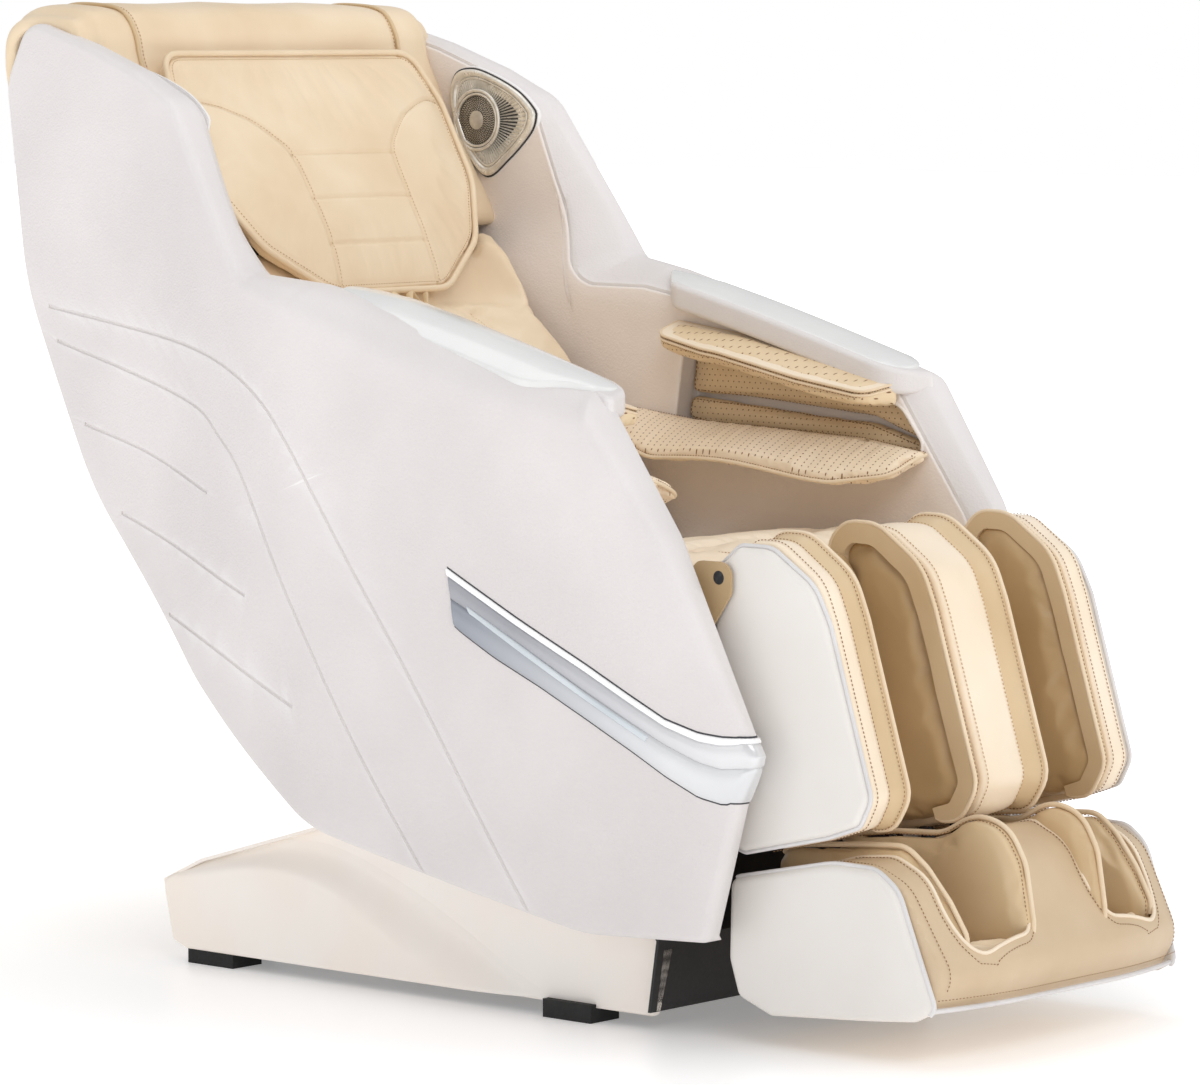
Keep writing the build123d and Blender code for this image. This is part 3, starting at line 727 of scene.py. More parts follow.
def sewn(name, path, body, *size, material=THREAD_BROWN, slot="leather_beige"):
    """A row of stitches along a path, finished. size is its pitch, stitch length and thread radius."""
    return dress(stitches(name, path, *size), material, body, slot)


def piped(name, path, radius, body, material=LEATHER_BEIGE, slot="leather_beige", closed=False, flatten=1.0):
    """A bead along a path, finished."""
    return dress(tube(name, path, radius, closed, flatten), material, body, slot)


# ---- Side shells and inner walls -----------------------------------------------------------------


def spline(knots):
    """A smooth function through (position, value) knots: a natural cubic."""
    at = np.array([k[0] for k in knots], float)
    value = np.array([k[1] for k in knots], float)
    gap = np.diff(at)
    count = len(at)
    matrix, right = np.eye(count), np.zeros(count)
    for i in range(1, count - 1):
        matrix[i, i - 1:i + 2] = gap[i - 1], 2 * (gap[i - 1] + gap[i]), gap[i]
        right[i] = 6 * ((value[i + 1] - value[i]) / gap[i] - (value[i] - value[i - 1]) / gap[i - 1])
    bend = np.linalg.solve(matrix, right)

    def evaluate(position):
        position = np.clip(np.asarray(position, float), at[0], at[-1])
        i = np.clip(np.searchsorted(at, position) - 1, 0, count - 2)
        right_part, left_part, width = position - at[i], at[i + 1] - position, gap[i]
        return (bend[i] * left_part ** 3 + bend[i + 1] * right_part ** 3) / (6 * width) \
            + (value[i] / width - bend[i] * width / 6) * left_part \
            + (value[i + 1] / width - bend[i + 1] * width / 6) * right_part

    return evaluate


half_width = spline(SHELL_PLAN)


def skin(y, z):
    """The shell's outer face: its distance from the middle plane. It tucks in a little at the bottom."""
    tuck = np.clip((360 - np.asarray(z, float)) / 240, 0, 1)
    return half_width(y) - 7 * tuck ** 2


def wall(y, z):
    """The cabin face of the side walls, which steps outwards beside the head."""
    rise = np.clip((np.asarray(z, float) - WING_RISE[0]) / (WING_RISE[1] - WING_RISE[0]), 0, 1)
    return WALL_IN + (WING_IN - WALL_IN) * rise * rise * (3 - 2 * rise)


def arm_top(y):
    """The arm's top line, with its bend eased."""
    y = np.asarray(y, float)
    (y0, z0), (y1, z1), (y2, z2) = ARM_TOP
    front = z1 + (y - y1) * (z1 - z0) / (y1 - y0)
    rear = z1 + (y - y1) * (z2 - z1) / (y2 - y1)
    ease = 18.0
    return (front + rear) / 2 - np.sqrt((front - rear) ** 2 / 4 + ease) + math.sqrt(ease) * 0.4


GROOVES = (
    [(613, 816), (483, 799), (345, 779), (268, 758), (210, 725), (161, 673), (63, 536), (-49, 379),
     (-202, 136)],
    [(597, 774), (449, 739), (328, 707), (286, 679), (236, 628), (162, 494), (64, 335), (-59, 160)],
    [(545, 673), (424, 644), (302, 603)],
    [(477, 567), (354, 528), (230, 484)],
    [(385, 449), (268, 407), (151, 356)],
)
TRIM_LINES = {
    "top": [(-88, 536), (-188, 483), (-281, 436), (-343, 402), (-386, 379), (-429, 366), (-458, 363),
            (-493, 364)],
    "bevel": [(-90, 527), (-188, 475), (-281, 428), (-343, 394), (-387, 371), (-429, 357), (-458, 354),
              (-493, 358)],
    "silver": [(-95, 500), (-188, 455), (-281, 405), (-343, 372), (-387, 350), (-429, 333), (-458, 327),
               (-493, 330)],
    "blade": [(-99, 470), (-109, 463), (-156, 437), (-220, 407), (-281, 375), (-343, 341), (-387, 315),
              (-429, 294), (-458, 288), (-494, 290)],
}


def shells_and_walls():
    outline = Outline(SHELL_OUTLINE, step=12, arc=8)
    pocket = Outline(POCKET, step=15, arc=6)
    for side, word in SIDES:
        shell = slab(f"side_shell_{word}", outline, lambda y, z: wall(y, z) + WALL_THICK + 0.2, skin,
                     across(side), INNER_ROLL, OUTER_ROLL, centre=SHELL_CENTRE, rings=14, arc=8,
                     lean_low=INNER_LEAN, lean_high=OUTER_LEAN, slant=True)
        cutters = [slab("hole", pocket, 240, POCKET_FLOOR, across(side), 1, 12)]
        for number, line in enumerate(GROOVES):
            path = smooth(line, 12)
            spots = np.stack([side * (skin(path[:, 0], path[:, 1]) + 0.6), path[:, 0], path[:, 1]], 1)
            cutters.append(tube(f"groove_{number}", spots, 2.6, closed=False))
        cut(shell, cutters)
        dress(shell, SHELL_PLASTIC, "capsule", "shell_plastic", f"shell_{word}")
        panel = slab(f"cabin_wall_{word}", outline, wall, lambda y, z: wall(y, z) + WALL_THICK, across(side),
                     2.5, 0.8, inset=[lean + 4 for lean in INNER_LEAN], centre=SHELL_CENTRE, rings=14, arc=3)
        cut(panel, [slab("hole", pocket, 240, 300, across(side), 1, 1)])
        dress(panel, WALL_PLASTIC, "capsule", "wall_plastic", f"inner_wall_{word}")
        ring = pocket.ring(0.4)
        piped(f"pocket_rim_{word}", at_x(side * (WALL_IN + 1), ring), 2.6, "capsule", WALL_PLASTIC,
              "wall_plastic", closed=True)


def armrests():
    """The inner bars of the arms, and the glossy insets on top."""
    dome = lambda y: np.interp(y, [-285, -235, 60, 150], [2.0, 8.0, 8.0, 1.0])
    for side, word in SIDES:
        place = upright(side)
        plan = Outline([(239, -262, 60), (305, -286, 8), (305, 104, 8), (239, 104, 30)], step=9, arc=7)
        low = lambda x, y: arm_top(y) - np.interp(y, [-284, -262, 104], [26, 32, 33])
        bar = slab(f"arm_bar_{word}", plan, low, lambda x, y: arm_top(y), place, 8, 7, rings=5, arc=6)
        dress(bar, SHELL_PLASTIC, "capsule", "shell_plastic", f"armrest_{word}")
        plan = Outline([(246, -256, 40), (298, -272, 34), (345, -190, 90), (347, 84, 90), (312, 150, 30),
                        (245, 92, 20)], step=8, arc=7)
        top = lambda x, y: arm_top(y) + dome(y) - np.where(x < 292, 0.0036, 0.0070) * (x - 292) ** 2
        inset = slab(f"arm_inset_{word}", plan, lambda x, y: arm_top(y) - 26, top, place, 1, 2.2, rings=8)
        dress(inset, GLOSS_INSET, "capsule", "gloss_inset", "armrest_insets")


def front_edge(z):
    """How far forward the shell reaches at a height."""
    return np.interp(z, [125, 293, 341, 586], [-434, -481, -503, -380])


def round_front(z):
    """The shell's section at its front edge, from the outer face round to the cabin face: places, then
    outward directions, in (x, y)."""
    steep = 1.12
    outer = float(skin(front_edge(z) + 12, z))
    spots = [(outer - OUTER_ROLL[2] * (1 - math.cos(t)), OUTER_LEAN[2] * (1 - math.sin(t)) * steep)
             for t in np.linspace(0, math.pi / 2, 7)]
    inner = WALL_IN + WALL_THICK + 0.2
    for share in np.linspace(1, 0, 8):
        inwards, down = roll_shape(share, True)
        spots.append((inner + INNER_ROLL[2] * down, INNER_LEAN[2] * inwards * steep))
    spots = np.array(spots) + [0, front_edge(z)]
    way = directions(spots, False)
    return spots, np.stack([-way[:, 1], way[:, 0]], 1)


def ribbon(name, side, upper, lower, proud, material, slot, *replaced, wrap=True):
    """A trim band on a shell between two lines, which turns round the shell's front edge."""
    upper, lower = (np.array(TRIM_LINES[line] if isinstance(line, str) else line, float)[::-1]
                    for line in (upper, lower))
    profile = [(0.0, -3.0), (0.0, proud * 0.4), (0.06, proud * 0.8), (0.14, proud), (0.5, proud + 0.4),
               (0.86, proud), (0.94, proud * 0.8), (1.0, proud * 0.4), (1.0, -3.0)]
    tips = []
    for v, h in profile:
        y, z = upper[0] + (lower[0] - upper[0]) * v
        if wrap:
            y = round_front(z)[0][0][1]
        tips.append(y)
    loops = []
    for share in np.linspace(0, 1, 48):
        loop = []
        for (v, h), tip in zip(profile, tips):
            start = upper[-1][0] + (lower[-1][0] - upper[-1][0]) * v
            y = start + (tip - start) * share
            high, low = (float(np.interp(y, line[:, 0], line[:, 1])) for line in (upper, lower))
            z = high + (low - high) * v
            loop.append((side * (float(skin(y, z)) + h), y, z))
        loops.append(loop)
    if wrap:
        sections = []
        for v, h in profile:
            z = upper[0][1] + (lower[0][1] - upper[0][1]) * v
            spots, outward = round_front(z)
            sections.append([(side * x, y, z) for x, y in spots + outward * h])
        loops += [list(loop) for loop in zip(*sections)][1:]
    return dress(loft(name, loops, 30), material, "capsule", slot, *replaced)


def trims():
    for side, word in SIDES:
        dark_top = [(y, z + 2.0) for y, z in TRIM_LINES["top"]]
        dark_low = [(y, z - 2.0) for y, z in TRIM_LINES["blade"]]
        ribbon(f"trim_seat_{word}", side, dark_top, dark_low, 0.5, PART_LINE, "trim_gloss")
        ribbon(f"trim_bevel_{word}", side, "top", "bevel", 3.0, TRIM_BEVEL_HIGHLIGHT, "trim_chrome", "trim_strips")
        ribbon(f"trim_band_{word}", side, "bevel", "silver", 2.0, TRIM_SILVER, "trim_chrome", "trim_strips")
        ribbon(f"trim_blade_{word}", side, "silver", "blade", 2.6, TRIM_BLADE, "trim_gloss", "trim_blades")
        bar_top = [(-118, 494), (-196, 452), (-281, 404), (-366, 359)]
        bar_low = [(-124, 484), (-196, 443), (-281, 396), (-362, 352)]
        ribbon(f"light_bar_{word}", side, bar_top, bar_low, 3.6, LIGHT_BAR, "light_bar", "light_bars",
               wrap=False)


SPEAKER = (468.0, 1040.0)
BEZEL = [(508, 1097), (478, 1106), (439, 1096), (399, 1078), (373, 1057), (368, 1045), (378, 1023),
         (416, 989), (453, 968), (488, 1000), (514, 1060)]


def bezel(inset, side, x, step=5.0):
    """The speaker's outline, shrunk by an inset, at a place along x."""
    ring = smooth(BEZEL, step, True)
    middle = ring.mean(0)
    ring = middle + (ring - middle) * (1 - inset / 62.0)
    return np.stack([np.full(len(ring), side * x), ring[:, 0], ring[:, 1]], 1)


def circle(side, x, radius, count):
    """Points round the speaker's middle."""
    return [(side * x, SPEAKER[0] + radius * math.cos(t), SPEAKER[1] + radius * math.sin(t))
            for t in np.linspace(0, 2 * math.pi, count, endpoint=False)]


def speaker_ribs(side, word):
    """Fine ribs that fan out from the grille to the rim."""
    inner = bezel(13, side, 297, 1.5)[:, 1:]
    angles = np.arctan2(inner[:, 1] - SPEAKER[1], inner[:, 0] - SPEAKER[0])
    reach = np.linalg.norm(inner - np.array(SPEAKER), axis=1)
    points, faces = [], []
    for angle in np.linspace(-math.pi, math.pi, 84, endpoint=False):
        far = reach[np.argmin(np.abs(np.angle(np.exp(1j * (angles - angle)))))]
        if far < 44:
            continue
        along = np.array([math.cos(angle), math.sin(angle)])
        aside = np.array([-along[1], along[0]])
        start = len(points)
        for radius in (40, far):
            wide = 0.55 * radius * math.pi / 84
            for offset, x in ((-wide, 297.2), (0, 294.4), (wide, 297.2)):
                spot = np.array(SPEAKER) + along * radius + aside * offset
                points.append((side * x, spot[0], spot[1]))
        faces += [(start, start + 1, start + 4, start + 3), (start + 1, start + 2, start + 5, start + 4),
                  (start, start + 3, start + 5, start + 2), (start, start + 2, start + 1),
                  (start + 3, start + 4, start + 5)]
    dress(make(f"speaker_ribs_{word}", points, faces, 10), SPEAKER_SILVER, "capsule", "speaker_silver")


def speaker_slots(side, word):
    """Small leaning slots in rings over the grille."""
    points, faces = [], []
    for row, radius in enumerate(np.linspace(13.5, 30.5, 8)):
        count = int(2 * math.pi * radius / 3.1)
        height = 295.0 - (31 - radius) * 0.075
        for number in range(count):
            angle = 2 * math.pi * (number + 0.5 * (row % 2)) / count
            lean = angle + (0.9 if row % 2 else -0.9)
            centre = np.array(SPEAKER) + radius * np.array([math.cos(angle), math.sin(angle)])
            long_way = 1.5 * np.array([math.cos(lean), math.sin(lean)])
            wide_way = 0.55 * np.array([-math.sin(lean), math.cos(lean)])
            start = len(points)
            for depth in (height - 0.35, height + 1.2):
                for u, v in ((-1, -1), (1, -1), (1, 1), (-1, 1)):
                    spot = centre + u * long_way + v * wide_way
                    points.append((side * depth, spot[0], spot[1]))
            faces += [(start, start + 1, start + 2, start + 3), (start + 7, start + 6, start + 5, start + 4)]
            for i in range(4):
                following = (i + 1) % 4
                faces.append((start + i, start + following, start + 4 + following, start + 4 + i))
    dress(make(f"speaker_slots_{word}", points, faces, 30), SPEAKER_DARK, "capsule", "speaker_mesh")


def speakers():
    for side, word in SIDES:
        seat_line = loft(f"speaker_seat_{word}", [bezel(-2, side, 298.4), bezel(-2, side, 297.4)])
        dress(seat_line, PART_LINE, "capsule", "speaker_silver")
        backing = loft(f"speaker_backing_{word}", [bezel(-4, side, 303), bezel(-3, side, 298.4)])
        dress(backing, SHELL_PLASTIC, "capsule", "shell_plastic")
        rim = [(0, 299.5), (0, 295), (1, 293.4), (3, 292.5), (6, 292.6), (8, 294.4), (9.5, 297), (30, 297.6)]
        rim = loft(f"speaker_rim_{word}", [bezel(inset, side, x) for inset, x in rim], 50)
        dress(rim, SPEAKER_SILVER, "capsule", "speaker_silver", "speaker_bezels")
        piped(f"speaker_bead_{word}", bezel(11, side, 296.2), 1.5, "capsule", SPEAKER_SILVER,
              "speaker_silver", closed=True)
        speaker_ribs(side, word)
        for radius, bead_radius, label in ((38.5, 2.4, "outer"), (34.0, 1.8, "inner")):
            piped(f"speaker_ring_{label}_{word}", circle(side, 294.6, radius, 72), bead_radius, "capsule",
                  SPEAKER_SILVER, "speaker_silver", closed=True)
        dome = ((33, 299), (33, 296), (30, 295.2), (20, 294.2), (12, 293.8), (9.5, 292.6), (3, 292.2))
        dome = loft(f"speaker_dome_{word}", [circle(side, x, radius, 48) for radius, x in dome])
        dress(dome, SPEAKER_MESH, "capsule", "speaker_mesh", "speaker_grilles")
        speaker_slots(side, word)


# ---- Padding of the cabin ------------------------------------------------------------------------

BACK_ORIGIN = (83.0, 490.0)
BACK_SLOPE = math.radians(52.0)
PILLOW_ORIGIN = (338.0, 838.0)
PILLOW_SLOPE = math.radians(58.7)


def leaning(origin, slope):
    """Places (x, s) with depth h on a leaning plane: s runs up it, and h comes out of its front."""
    def place(a, b, h):
        a, b, h = (np.asarray(v, float) for v in (a, b, h))
        return np.stack([a + 0 * b, origin[0] + b * math.cos(slope) - h * math.sin(slope),
                         origin[1] + b * math.sin(slope) + h * math.cos(slope)], 1)
    return place


def out_of(slope):
    """The direction that points into a leaning plane."""
    return 0.0, math.sin(slope), -math.cos(slope)


def trail(place, points, height, step=5.0):
    """A smooth path drawn on a place's plane."""
    return placed(place, smooth(points, step), height)


def sew(name, piece, path, towards, width, depth):
    """Presses a seam into a cabin cushion and runs thread along one side of it."""
    press(piece, path, width, depth)
    aside = np.cross(directions(path, False), np.asarray(towards, float))
    aside /= np.maximum(np.linalg.norm(aside, axis=1), 1e-9)[:, None]
    sewn(f"{name}_0", land(piece, path + aside * 3.4, towards, 0.25), "capsule", material=THREAD_PALE)


def pillow():
    place = leaning(PILLOW_ORIGIN, PILLOW_SLOPE)
    into = out_of(PILLOW_SLOPE)
    outline = Outline([(-105, -6, 60), (105, -6, 60), (196, 62, 80), (240, 150, 110), (246, 270, 100),
                       (226, 347, 34), (-226, 347, 34), (-246, 270, 100), (-240, 150, 110), (-196, 62, 80)],
                      step=9, arc=7)
    cushion = slab("pillow_cushion", outline, -30, -4, place, 12, 12, inset=4, rings=6, crown_high=5)
    border = outline.ring(13)
    border = np.concatenate([border, border[:1]])
    edge = placed(place, border, -2)
    puff(cushion, 5.5, 3.5, 10.0, 0.01, [edge])
    press(cushion, edge, 8, 3.2)
    curve = [(243, 268), (204, 268), (150, 246), (112, 215), (92, 187), (87, 127), (86, 65), (88, 22),
             (90, -2)]
    seams = {
        "left_curve": curve,
        "right_curve": [(-a, b) for a, b in curve],
        "rung_top": [(-92, 187), (92, 187)],
        "rung_middle": [(-87, 124), (87, 124)],
        "rung_low": [(-86, 61), (86, 61)],
    }
    for name, points in seams.items():
        path = landed_on(cushion, trail(place, points, 10), into)
        press(cushion, path, 6.0, 4.6 if "rung" not in name else 3.4)
    hem = land(cushion, placed(place, border, 20), into, 0.2)
    sewn("pillow_hem_stitches", hem, "pillow", 4.6, 2.8, material=THREAD_PALE, slot="leather_light")
    for name in ("right_curve", "left_curve"):
        path = land(cushion, trail(place, [(a + 3.5, b) for a, b in seams[name]], 20), into, 0.2)
        sewn(f"pillow_{name}_stitches", path, "pillow", 4.6, 2.8, 0.4, material=THREAD_PALE,
             slot="leather_light")
    piped("pillow_piping", placed(place, outline.ring(3.5), -7), 4.2, "pillow", slot="leather_light",
          closed=True)
    dress(cushion, LEATHER_BEIGE, "pillow", "leather_light", "head_pillow", padded=0.6)


def landed_on(piece, path, towards):
    """The path on the piece's surface, or as it is where it misses the piece."""
    found = land(piece, path, towards)
    return found if len(found) > 1 else path


def wrinkle(piece, seed, height, scale, stretch=(1.0, 1.0, 1.0), centre=None, reach=None):
    """Lifts soft creases on a piece: smooth ridged noise, strongest near a centre."""
    points, outward = coordinates(piece), normals(piece)
    warp = np.array(stretch) / scale
    lift = np.empty(len(points))
    for number, point in enumerate(points * warp):
        lift[number] = 1 - 2 * abs(noise.noise(Vector(point) + Vector((seed, 0.37 * seed, -seed))))
    if centre is not None:
        fade = np.clip(1 - np.linalg.norm(points - np.array(centre), axis=1) / reach, 0, 1)
        lift = (lift - 0.6) * fade * fade * (3 - 2 * fade)
    else:
        lift -= 0.6
    return reshape(piece, points + outward * (lift * height)[:, None])


def back_cushion():
    place = leaning(BACK_ORIGIN, BACK_SLOPE)
    into = out_of(BACK_SLOPE)
    outline = Outline([(-254, 24, 22), (254, 24, 22), (254, 440, 30), (252, 530, 30), (-252, 530, 30),
                       (-254, 440, 30)], step=14, arc=6)

    def front(x, s):
        """Flat and full, but hollow behind the pillow."""
        middle = np.clip((238 - np.abs(x)) / 34, 0, 1)
        return 8 - 38 / (1 + np.exp(-(s - 396) / 9.0)) * middle * middle * (3 - 2 * middle)

    cushion = slab("back_cushion_soft", outline, -42, front, place, 8, 16, rings=12)
    seams = {
        "left": [(150, 26), (146, 200), (138, 396)],
        "right": [(-150, 26), (-146, 200), (-138, 396)],
        "cross_low": [(-148, 130), (0, 126), (148, 130)],
        "cross_high": [(-143, 262), (0, 256), (143, 262)],
    }
    lines = {name: trail(place, points, -6) for name, points in seams.items()}
    puff(cushion, 6.0, 5.0, 14.0, 0.03, list(lines.values()))
    wrinkle(cushion, 3.1, 2.6, 60.0, (1.0, 0.7, 0.7))
    for name, path in lines.items():
        sew(f"back_{name}_stitches", cushion, landed_on(cushion, path, into), into, 9, 3.2)
    dress(cushion, LEATHER_BEIGE, "capsule", "leather_beige", "back_cushion", padded=0.65)
    tie = [(-34, 4), (-20, 30), (-8, 8), (8, 30), (20, 6), (34, 28)]
    tie = trail(leaning((300.0, 806.0), PILLOW_SLOPE), tie, -4, 3.0)
    piped("pillow_tie", tie, 5.0, "capsule", LEATHER_TAN, "leather_tan", flatten=0.45)


def seat():
    outline = Outline([(70, 434, 14), (70, 508, 24), (-173, 541, 80), (-338, 556, 26), (-359, 540, 24),
                       (-359, 470, 16), (-340, 434, 12)], step=12, arc=6)
    cushion = slab("seat_cushion_soft", outline, -252, 252, across(1), 16, 16, rings=4)
    down = (0.0, 0.0, -1.0)
    seams = [[(x, 66, 515), (x, -173, 545), (x, -330, 560)] for x in (-150, 150)]
    seams.append([(x, -250, 551) for x in (-248, 0, 248)])
    seams = [np.array(line, float) for line in seams]
    puff(cushion, 6.0, 5.0, 12.0, 0.04, seams)
    for side in (-1, 1):
        wrinkle(cushion, 5.0 + side, 7.0, 34.0, (0.3, 1.5, 1.0), (side * 240, -270, 550), 150)
    wrinkle(cushion, 8.3, 2.0, 70.0)
    for number, line in enumerate(seams):
        path = land(cushion, even(line + [0, 0, 30], 5), down)
        sew(f"seat_stitches_{number}", cushion, path, down, 10, 3.6)
    dress(cushion, LEATHER_CREAM, "capsule", "leather_light", "seat_cushion", padded=0.65)
    outline = Outline([(-346, 462, 16), (-346, 548, 20), (-392, 552, 30), (-418, 528, 30), (-418, 470, 20)],
                      step=8, arc=6)
    roll = slab("seat_front_roll", outline, -240, 240, across(1), 10, 10, rings=5)
    puff(roll, 5.5, 4.0, 6.0, 0.03)
    wrinkle(roll, 9.1, 2.4, 40.0, (0.5, 1.0, 1.0))
    dress(roll, LEATHER_BEIGE, "capsule", "leather_light", padded=0.65)
    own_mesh(roll)


def hood():
    """The padded cover over the top of the head rest, which rolls over to the back."""
    spine = smooth([(428, 914), (500, 1032), (546, 1112), (558, 1152), (580, 1180), (622, 1188),
                    (680, 1186), (716, 1160), (724, 1110), (712, 1050), (702, 1012)], 9)
    way = directions(spine, False)
    outward = np.stack([-way[:, 1], way[:, 0]], 1)
    if outward[len(outward) // 2] @ np.array([0.2, 1.0]) < 0:
        outward = -outward
    half = [(318, -34), (320, -20), (315, -13), (298, -12), (297, -6), (293, -2), (284, 0.5), (262, 1.5),
            (244, 0.0), (236, -3.0), (228, 0.0), (200, 2.2), (100, 3.2)]
    section = [(-x, h) for x, h in half] + [(0, 3.6)] + half[::-1] + [(150, -36), (-150, -36), (-318, -34)]
    section = even(np.array(section, float), 9)[:-1]
    loops = []
    for number, (spot, out) in enumerate(zip(spine, outward)):
        share = min(number, len(spine) - 1 - number) / 4.0
        ease = math.sqrt(max(0.0, 1 - (1 - min(share, 1)) ** 2)) if share < 1 else 1.0
        loop = []
        for x, h in section:
            height = (h + 14) * (0.35 + 0.65 * ease) - 14
            loop.append((x, spot[0] + out[0] * height, spot[1] + out[1] * height))
        loops.append(loop)
    cover = loft("hood_cover", loops)
    remesh(cover, 5.0)
    subdivide(cover)
    wrinkle(cover, 2.2, 1.6, 90.0, (0.5, 1.0, 1.0))
    dress(cover, LEATHER_BEIGE, "capsule", "leather_beige", "hood", padded=0.5)
    for side, word in SIDES:
        piped(f"hood_piping_{word}", at_x(side * 236, spine + outward * 0.6)[4:-4], 2.8, "capsule",
              LEATHER_TAN)
        sewn(f"hood_stitches_{word}", at_x(side * 229, spine + outward * 1.2)[4:-4], "capsule",
             material=THREAD_PALE)


def arm_line(y):
    """Height of the wall's top edge of the upper arm pad."""
    return np.interp(y, [-262, -26, 100], [727, 776, 792])


def upper_arm_pad(side, word):
    """The upper air pad, with a smooth top over its perforated sides and two rows of piping."""
    def place(a, b, h):
        return np.stack([side * a, b, arm_line(b) - (262 - a) * 0.24 + h], 1)

    plan = Outline([(263, -262, 6), (204, -248, 26), (190, -150, 90), (189, 0, 60), (206, 88, 30),
                    (262, 96, 6)], step=9, arc=6)
    pad = slab(f"upper_arm_pad_{word}", plan, lambda x, y: -12 - 16 * (x - 188) / 76, -1, place, 4, 3,
               inset=2, crown_high=2)
    puff(pad, 4.5, 3.0, 5.0, 0.01)
    dress(pad, LEATHER_DOTS_SIDE, "capsule", "leather_perforated", "upper_arm_pads", padded=0.5)
    top = slab(f"upper_arm_pad_top_{word}", plan, 0.5, 3.0, place, 0.8, 1.6, inset=3.5, crown_high=1.5)
    dress(top, LEATHER_CREAM, "capsule", "leather_beige", padded=0.5)
    ring = plan.ring(2.5)
    ring = ring[ring[:, 0] < 262]
    for height, label in ((1.4, "top"), (-4.2, "low")):
        path = from_gap(placed(place, ring, height))
        piped(f"upper_arm_piping_{label}_{word}", path, 1.9, "capsule")
        sewn(f"upper_arm_stitches_{label}_{word}", path + [0, 0, -2.4], "capsule", 4.2, 3.0, 0.5)


def lower_arm_pad(side, word):
    """The lower air pad, which falls away from the wall in soft waves."""
    def place(a, b, h):
        share = np.clip((262 - a) / 92, 0, 1)
        wave = 5.0 * np.sin((b + 130) / 52.0) * share
        top = np.interp(b, [-314, -205, 60, 176], [645, 660, 670, 682])
        return np.stack([side * a, b, top - 40 * share ** 1.5 + wave + h], 1)

    plan = Outline([(263, -306, 6), (196, -300, 30), (168, -215, 90), (172, 70, 90), (196, 160, 30),
                    (263, 176, 6)], step=8, arc=6)
    pad = slab(f"lower_arm_pad_{word}", plan, -13, -1, place, 4, 5, inset=2, rings=9, crown_high=2)
    puff(pad, 4.5, 3.5, 5.0, 0.02)
    wrinkle(pad, 6.4, 1.6, 26.0, (0.4, 1.0, 0.4))
    dress(pad, LEATHER_DOTS_TOP, "capsule", "leather_perforated", "lower_arm_pads", padded=0.5)
    ring = plan.ring(2.0)
    path = from_gap(placed(place, ring[ring[:, 0] < 262], -4))
    piped(f"lower_arm_piping_{word}", path, 2.6, "capsule")
    sewn(f"lower_arm_stitches_{word}", path + [0, 0, 3.4], "capsule", 4.4, 3.0, 0.5)


def arm_back_bands(side, word):
    """The two perforated bands at the back of the pocket, each with a sewn border."""
    bands = (
        [(98, 697, 10), (-20, 690, 40), (-196, 676, 30), (-292, 648, 8), (-306, 638, 6), (-205, 644, 30),
         (60, 659, 30), (102, 668, 8)],
        [(88, 766, 10), (-20, 746, 40), (-196, 718, 30), (-258, 698, 8), (-290, 652, 6), (-196, 680, 30),
         (-20, 694, 40), (96, 701, 8)],
    )
    for number, corners in enumerate(bands):
        outline = Outline(corners, step=9, arc=5)
        band = slab(f"arm_back_band_{number}_{word}", outline, 290, 305.6, across(side), 6, 1, inset=0.5,
                    rings=4, crown_low=4)
        puff(band, 4.0, 2.5, 3.5, 0.01)
        dress(band, LEATHER_DOTS_SIDE, "capsule", "leather_perforated", "arm_back_pads", padded=0.5)
        path = land(band, at_x(side * 250, outline.ring(4)), (side, 0, 0), 0.3)
        sewn(f"arm_back_stitches_{number}_{word}", path, "capsule", 5.5, 4.2, 0.7)


def arm_pads():
    for side, word in SIDES:
        upper_arm_pad(side, word)
        lower_arm_pad(side, word)
        arm_back_bands(side, word)


# ---- Calf unit -----------------------------------------------------------------------------------


def front_run(corners, first, last):
    """The part of a rounded outline from one (y, z) place to another, with its outward directions."""
    outline = Outline(corners, step=6, arc=8)
    ring = even(outline.ring(), 6.0, True)
    way = directions(ring, True)
    outward = -outline.turn * np.stack([-way[:, 1], way[:, 0]], 1)
    start = int(np.argmin(np.linalg.norm(ring - np.array(first), axis=1)))
    end = int(np.argmin(np.linalg.norm(ring - np.array(last), axis=1)))
    count = (end - start) % len(ring) + 1
    picked = [(start + k) % len(ring) for k in range(count)]
    return ring[picked], outward[picked]


def fade(count, first, last):
    """Shares that rise from 0 over the first points of a run, and fall back to 0 over its last ones."""
    at = np.arange(count)
    share = np.clip(np.minimum(at / first, (count - 1 - at) / last), 0, 1)
    return np.sqrt(np.maximum(0.001, 1 - (1 - share) ** 2))


def strap(name, run, outward, section, first=5, last=5):
    """A band over the front of a unit: a closed (x, proud) section along a run, thinned at both ends."""
    loops = []
    for spot, out, ease in zip(run, outward, fade(len(run), first, last)):
        spots = [(x, spot + out * (h * ease if h > 0 else h)) for x, h in section]
        loops.append([(x, y, z) for x, (y, z) in spots])
    return loft(name, loops, 50)


def arch(x0, x1, height, depth, count=9):
    """A strap section with a rounded top."""
    top = [(x0 + (x1 - x0) * (1 - math.cos(t)) / 2, height * math.sin(t) ** 0.55)
           for t in np.linspace(0, math.pi, count)]
    return [(x0, -depth)] + top + [(x1, -depth)]


CORE_OUTLINE = [(-428, 234, 8), (-428, 560, 24), (-446, 577, 24), (-482, 577, 40), (-540, 537, 60),
                (-558, 493, 80), (-618, 300, 24), (-602, 268, 16), (-556, 252, 60), (-440, 224, 10)]


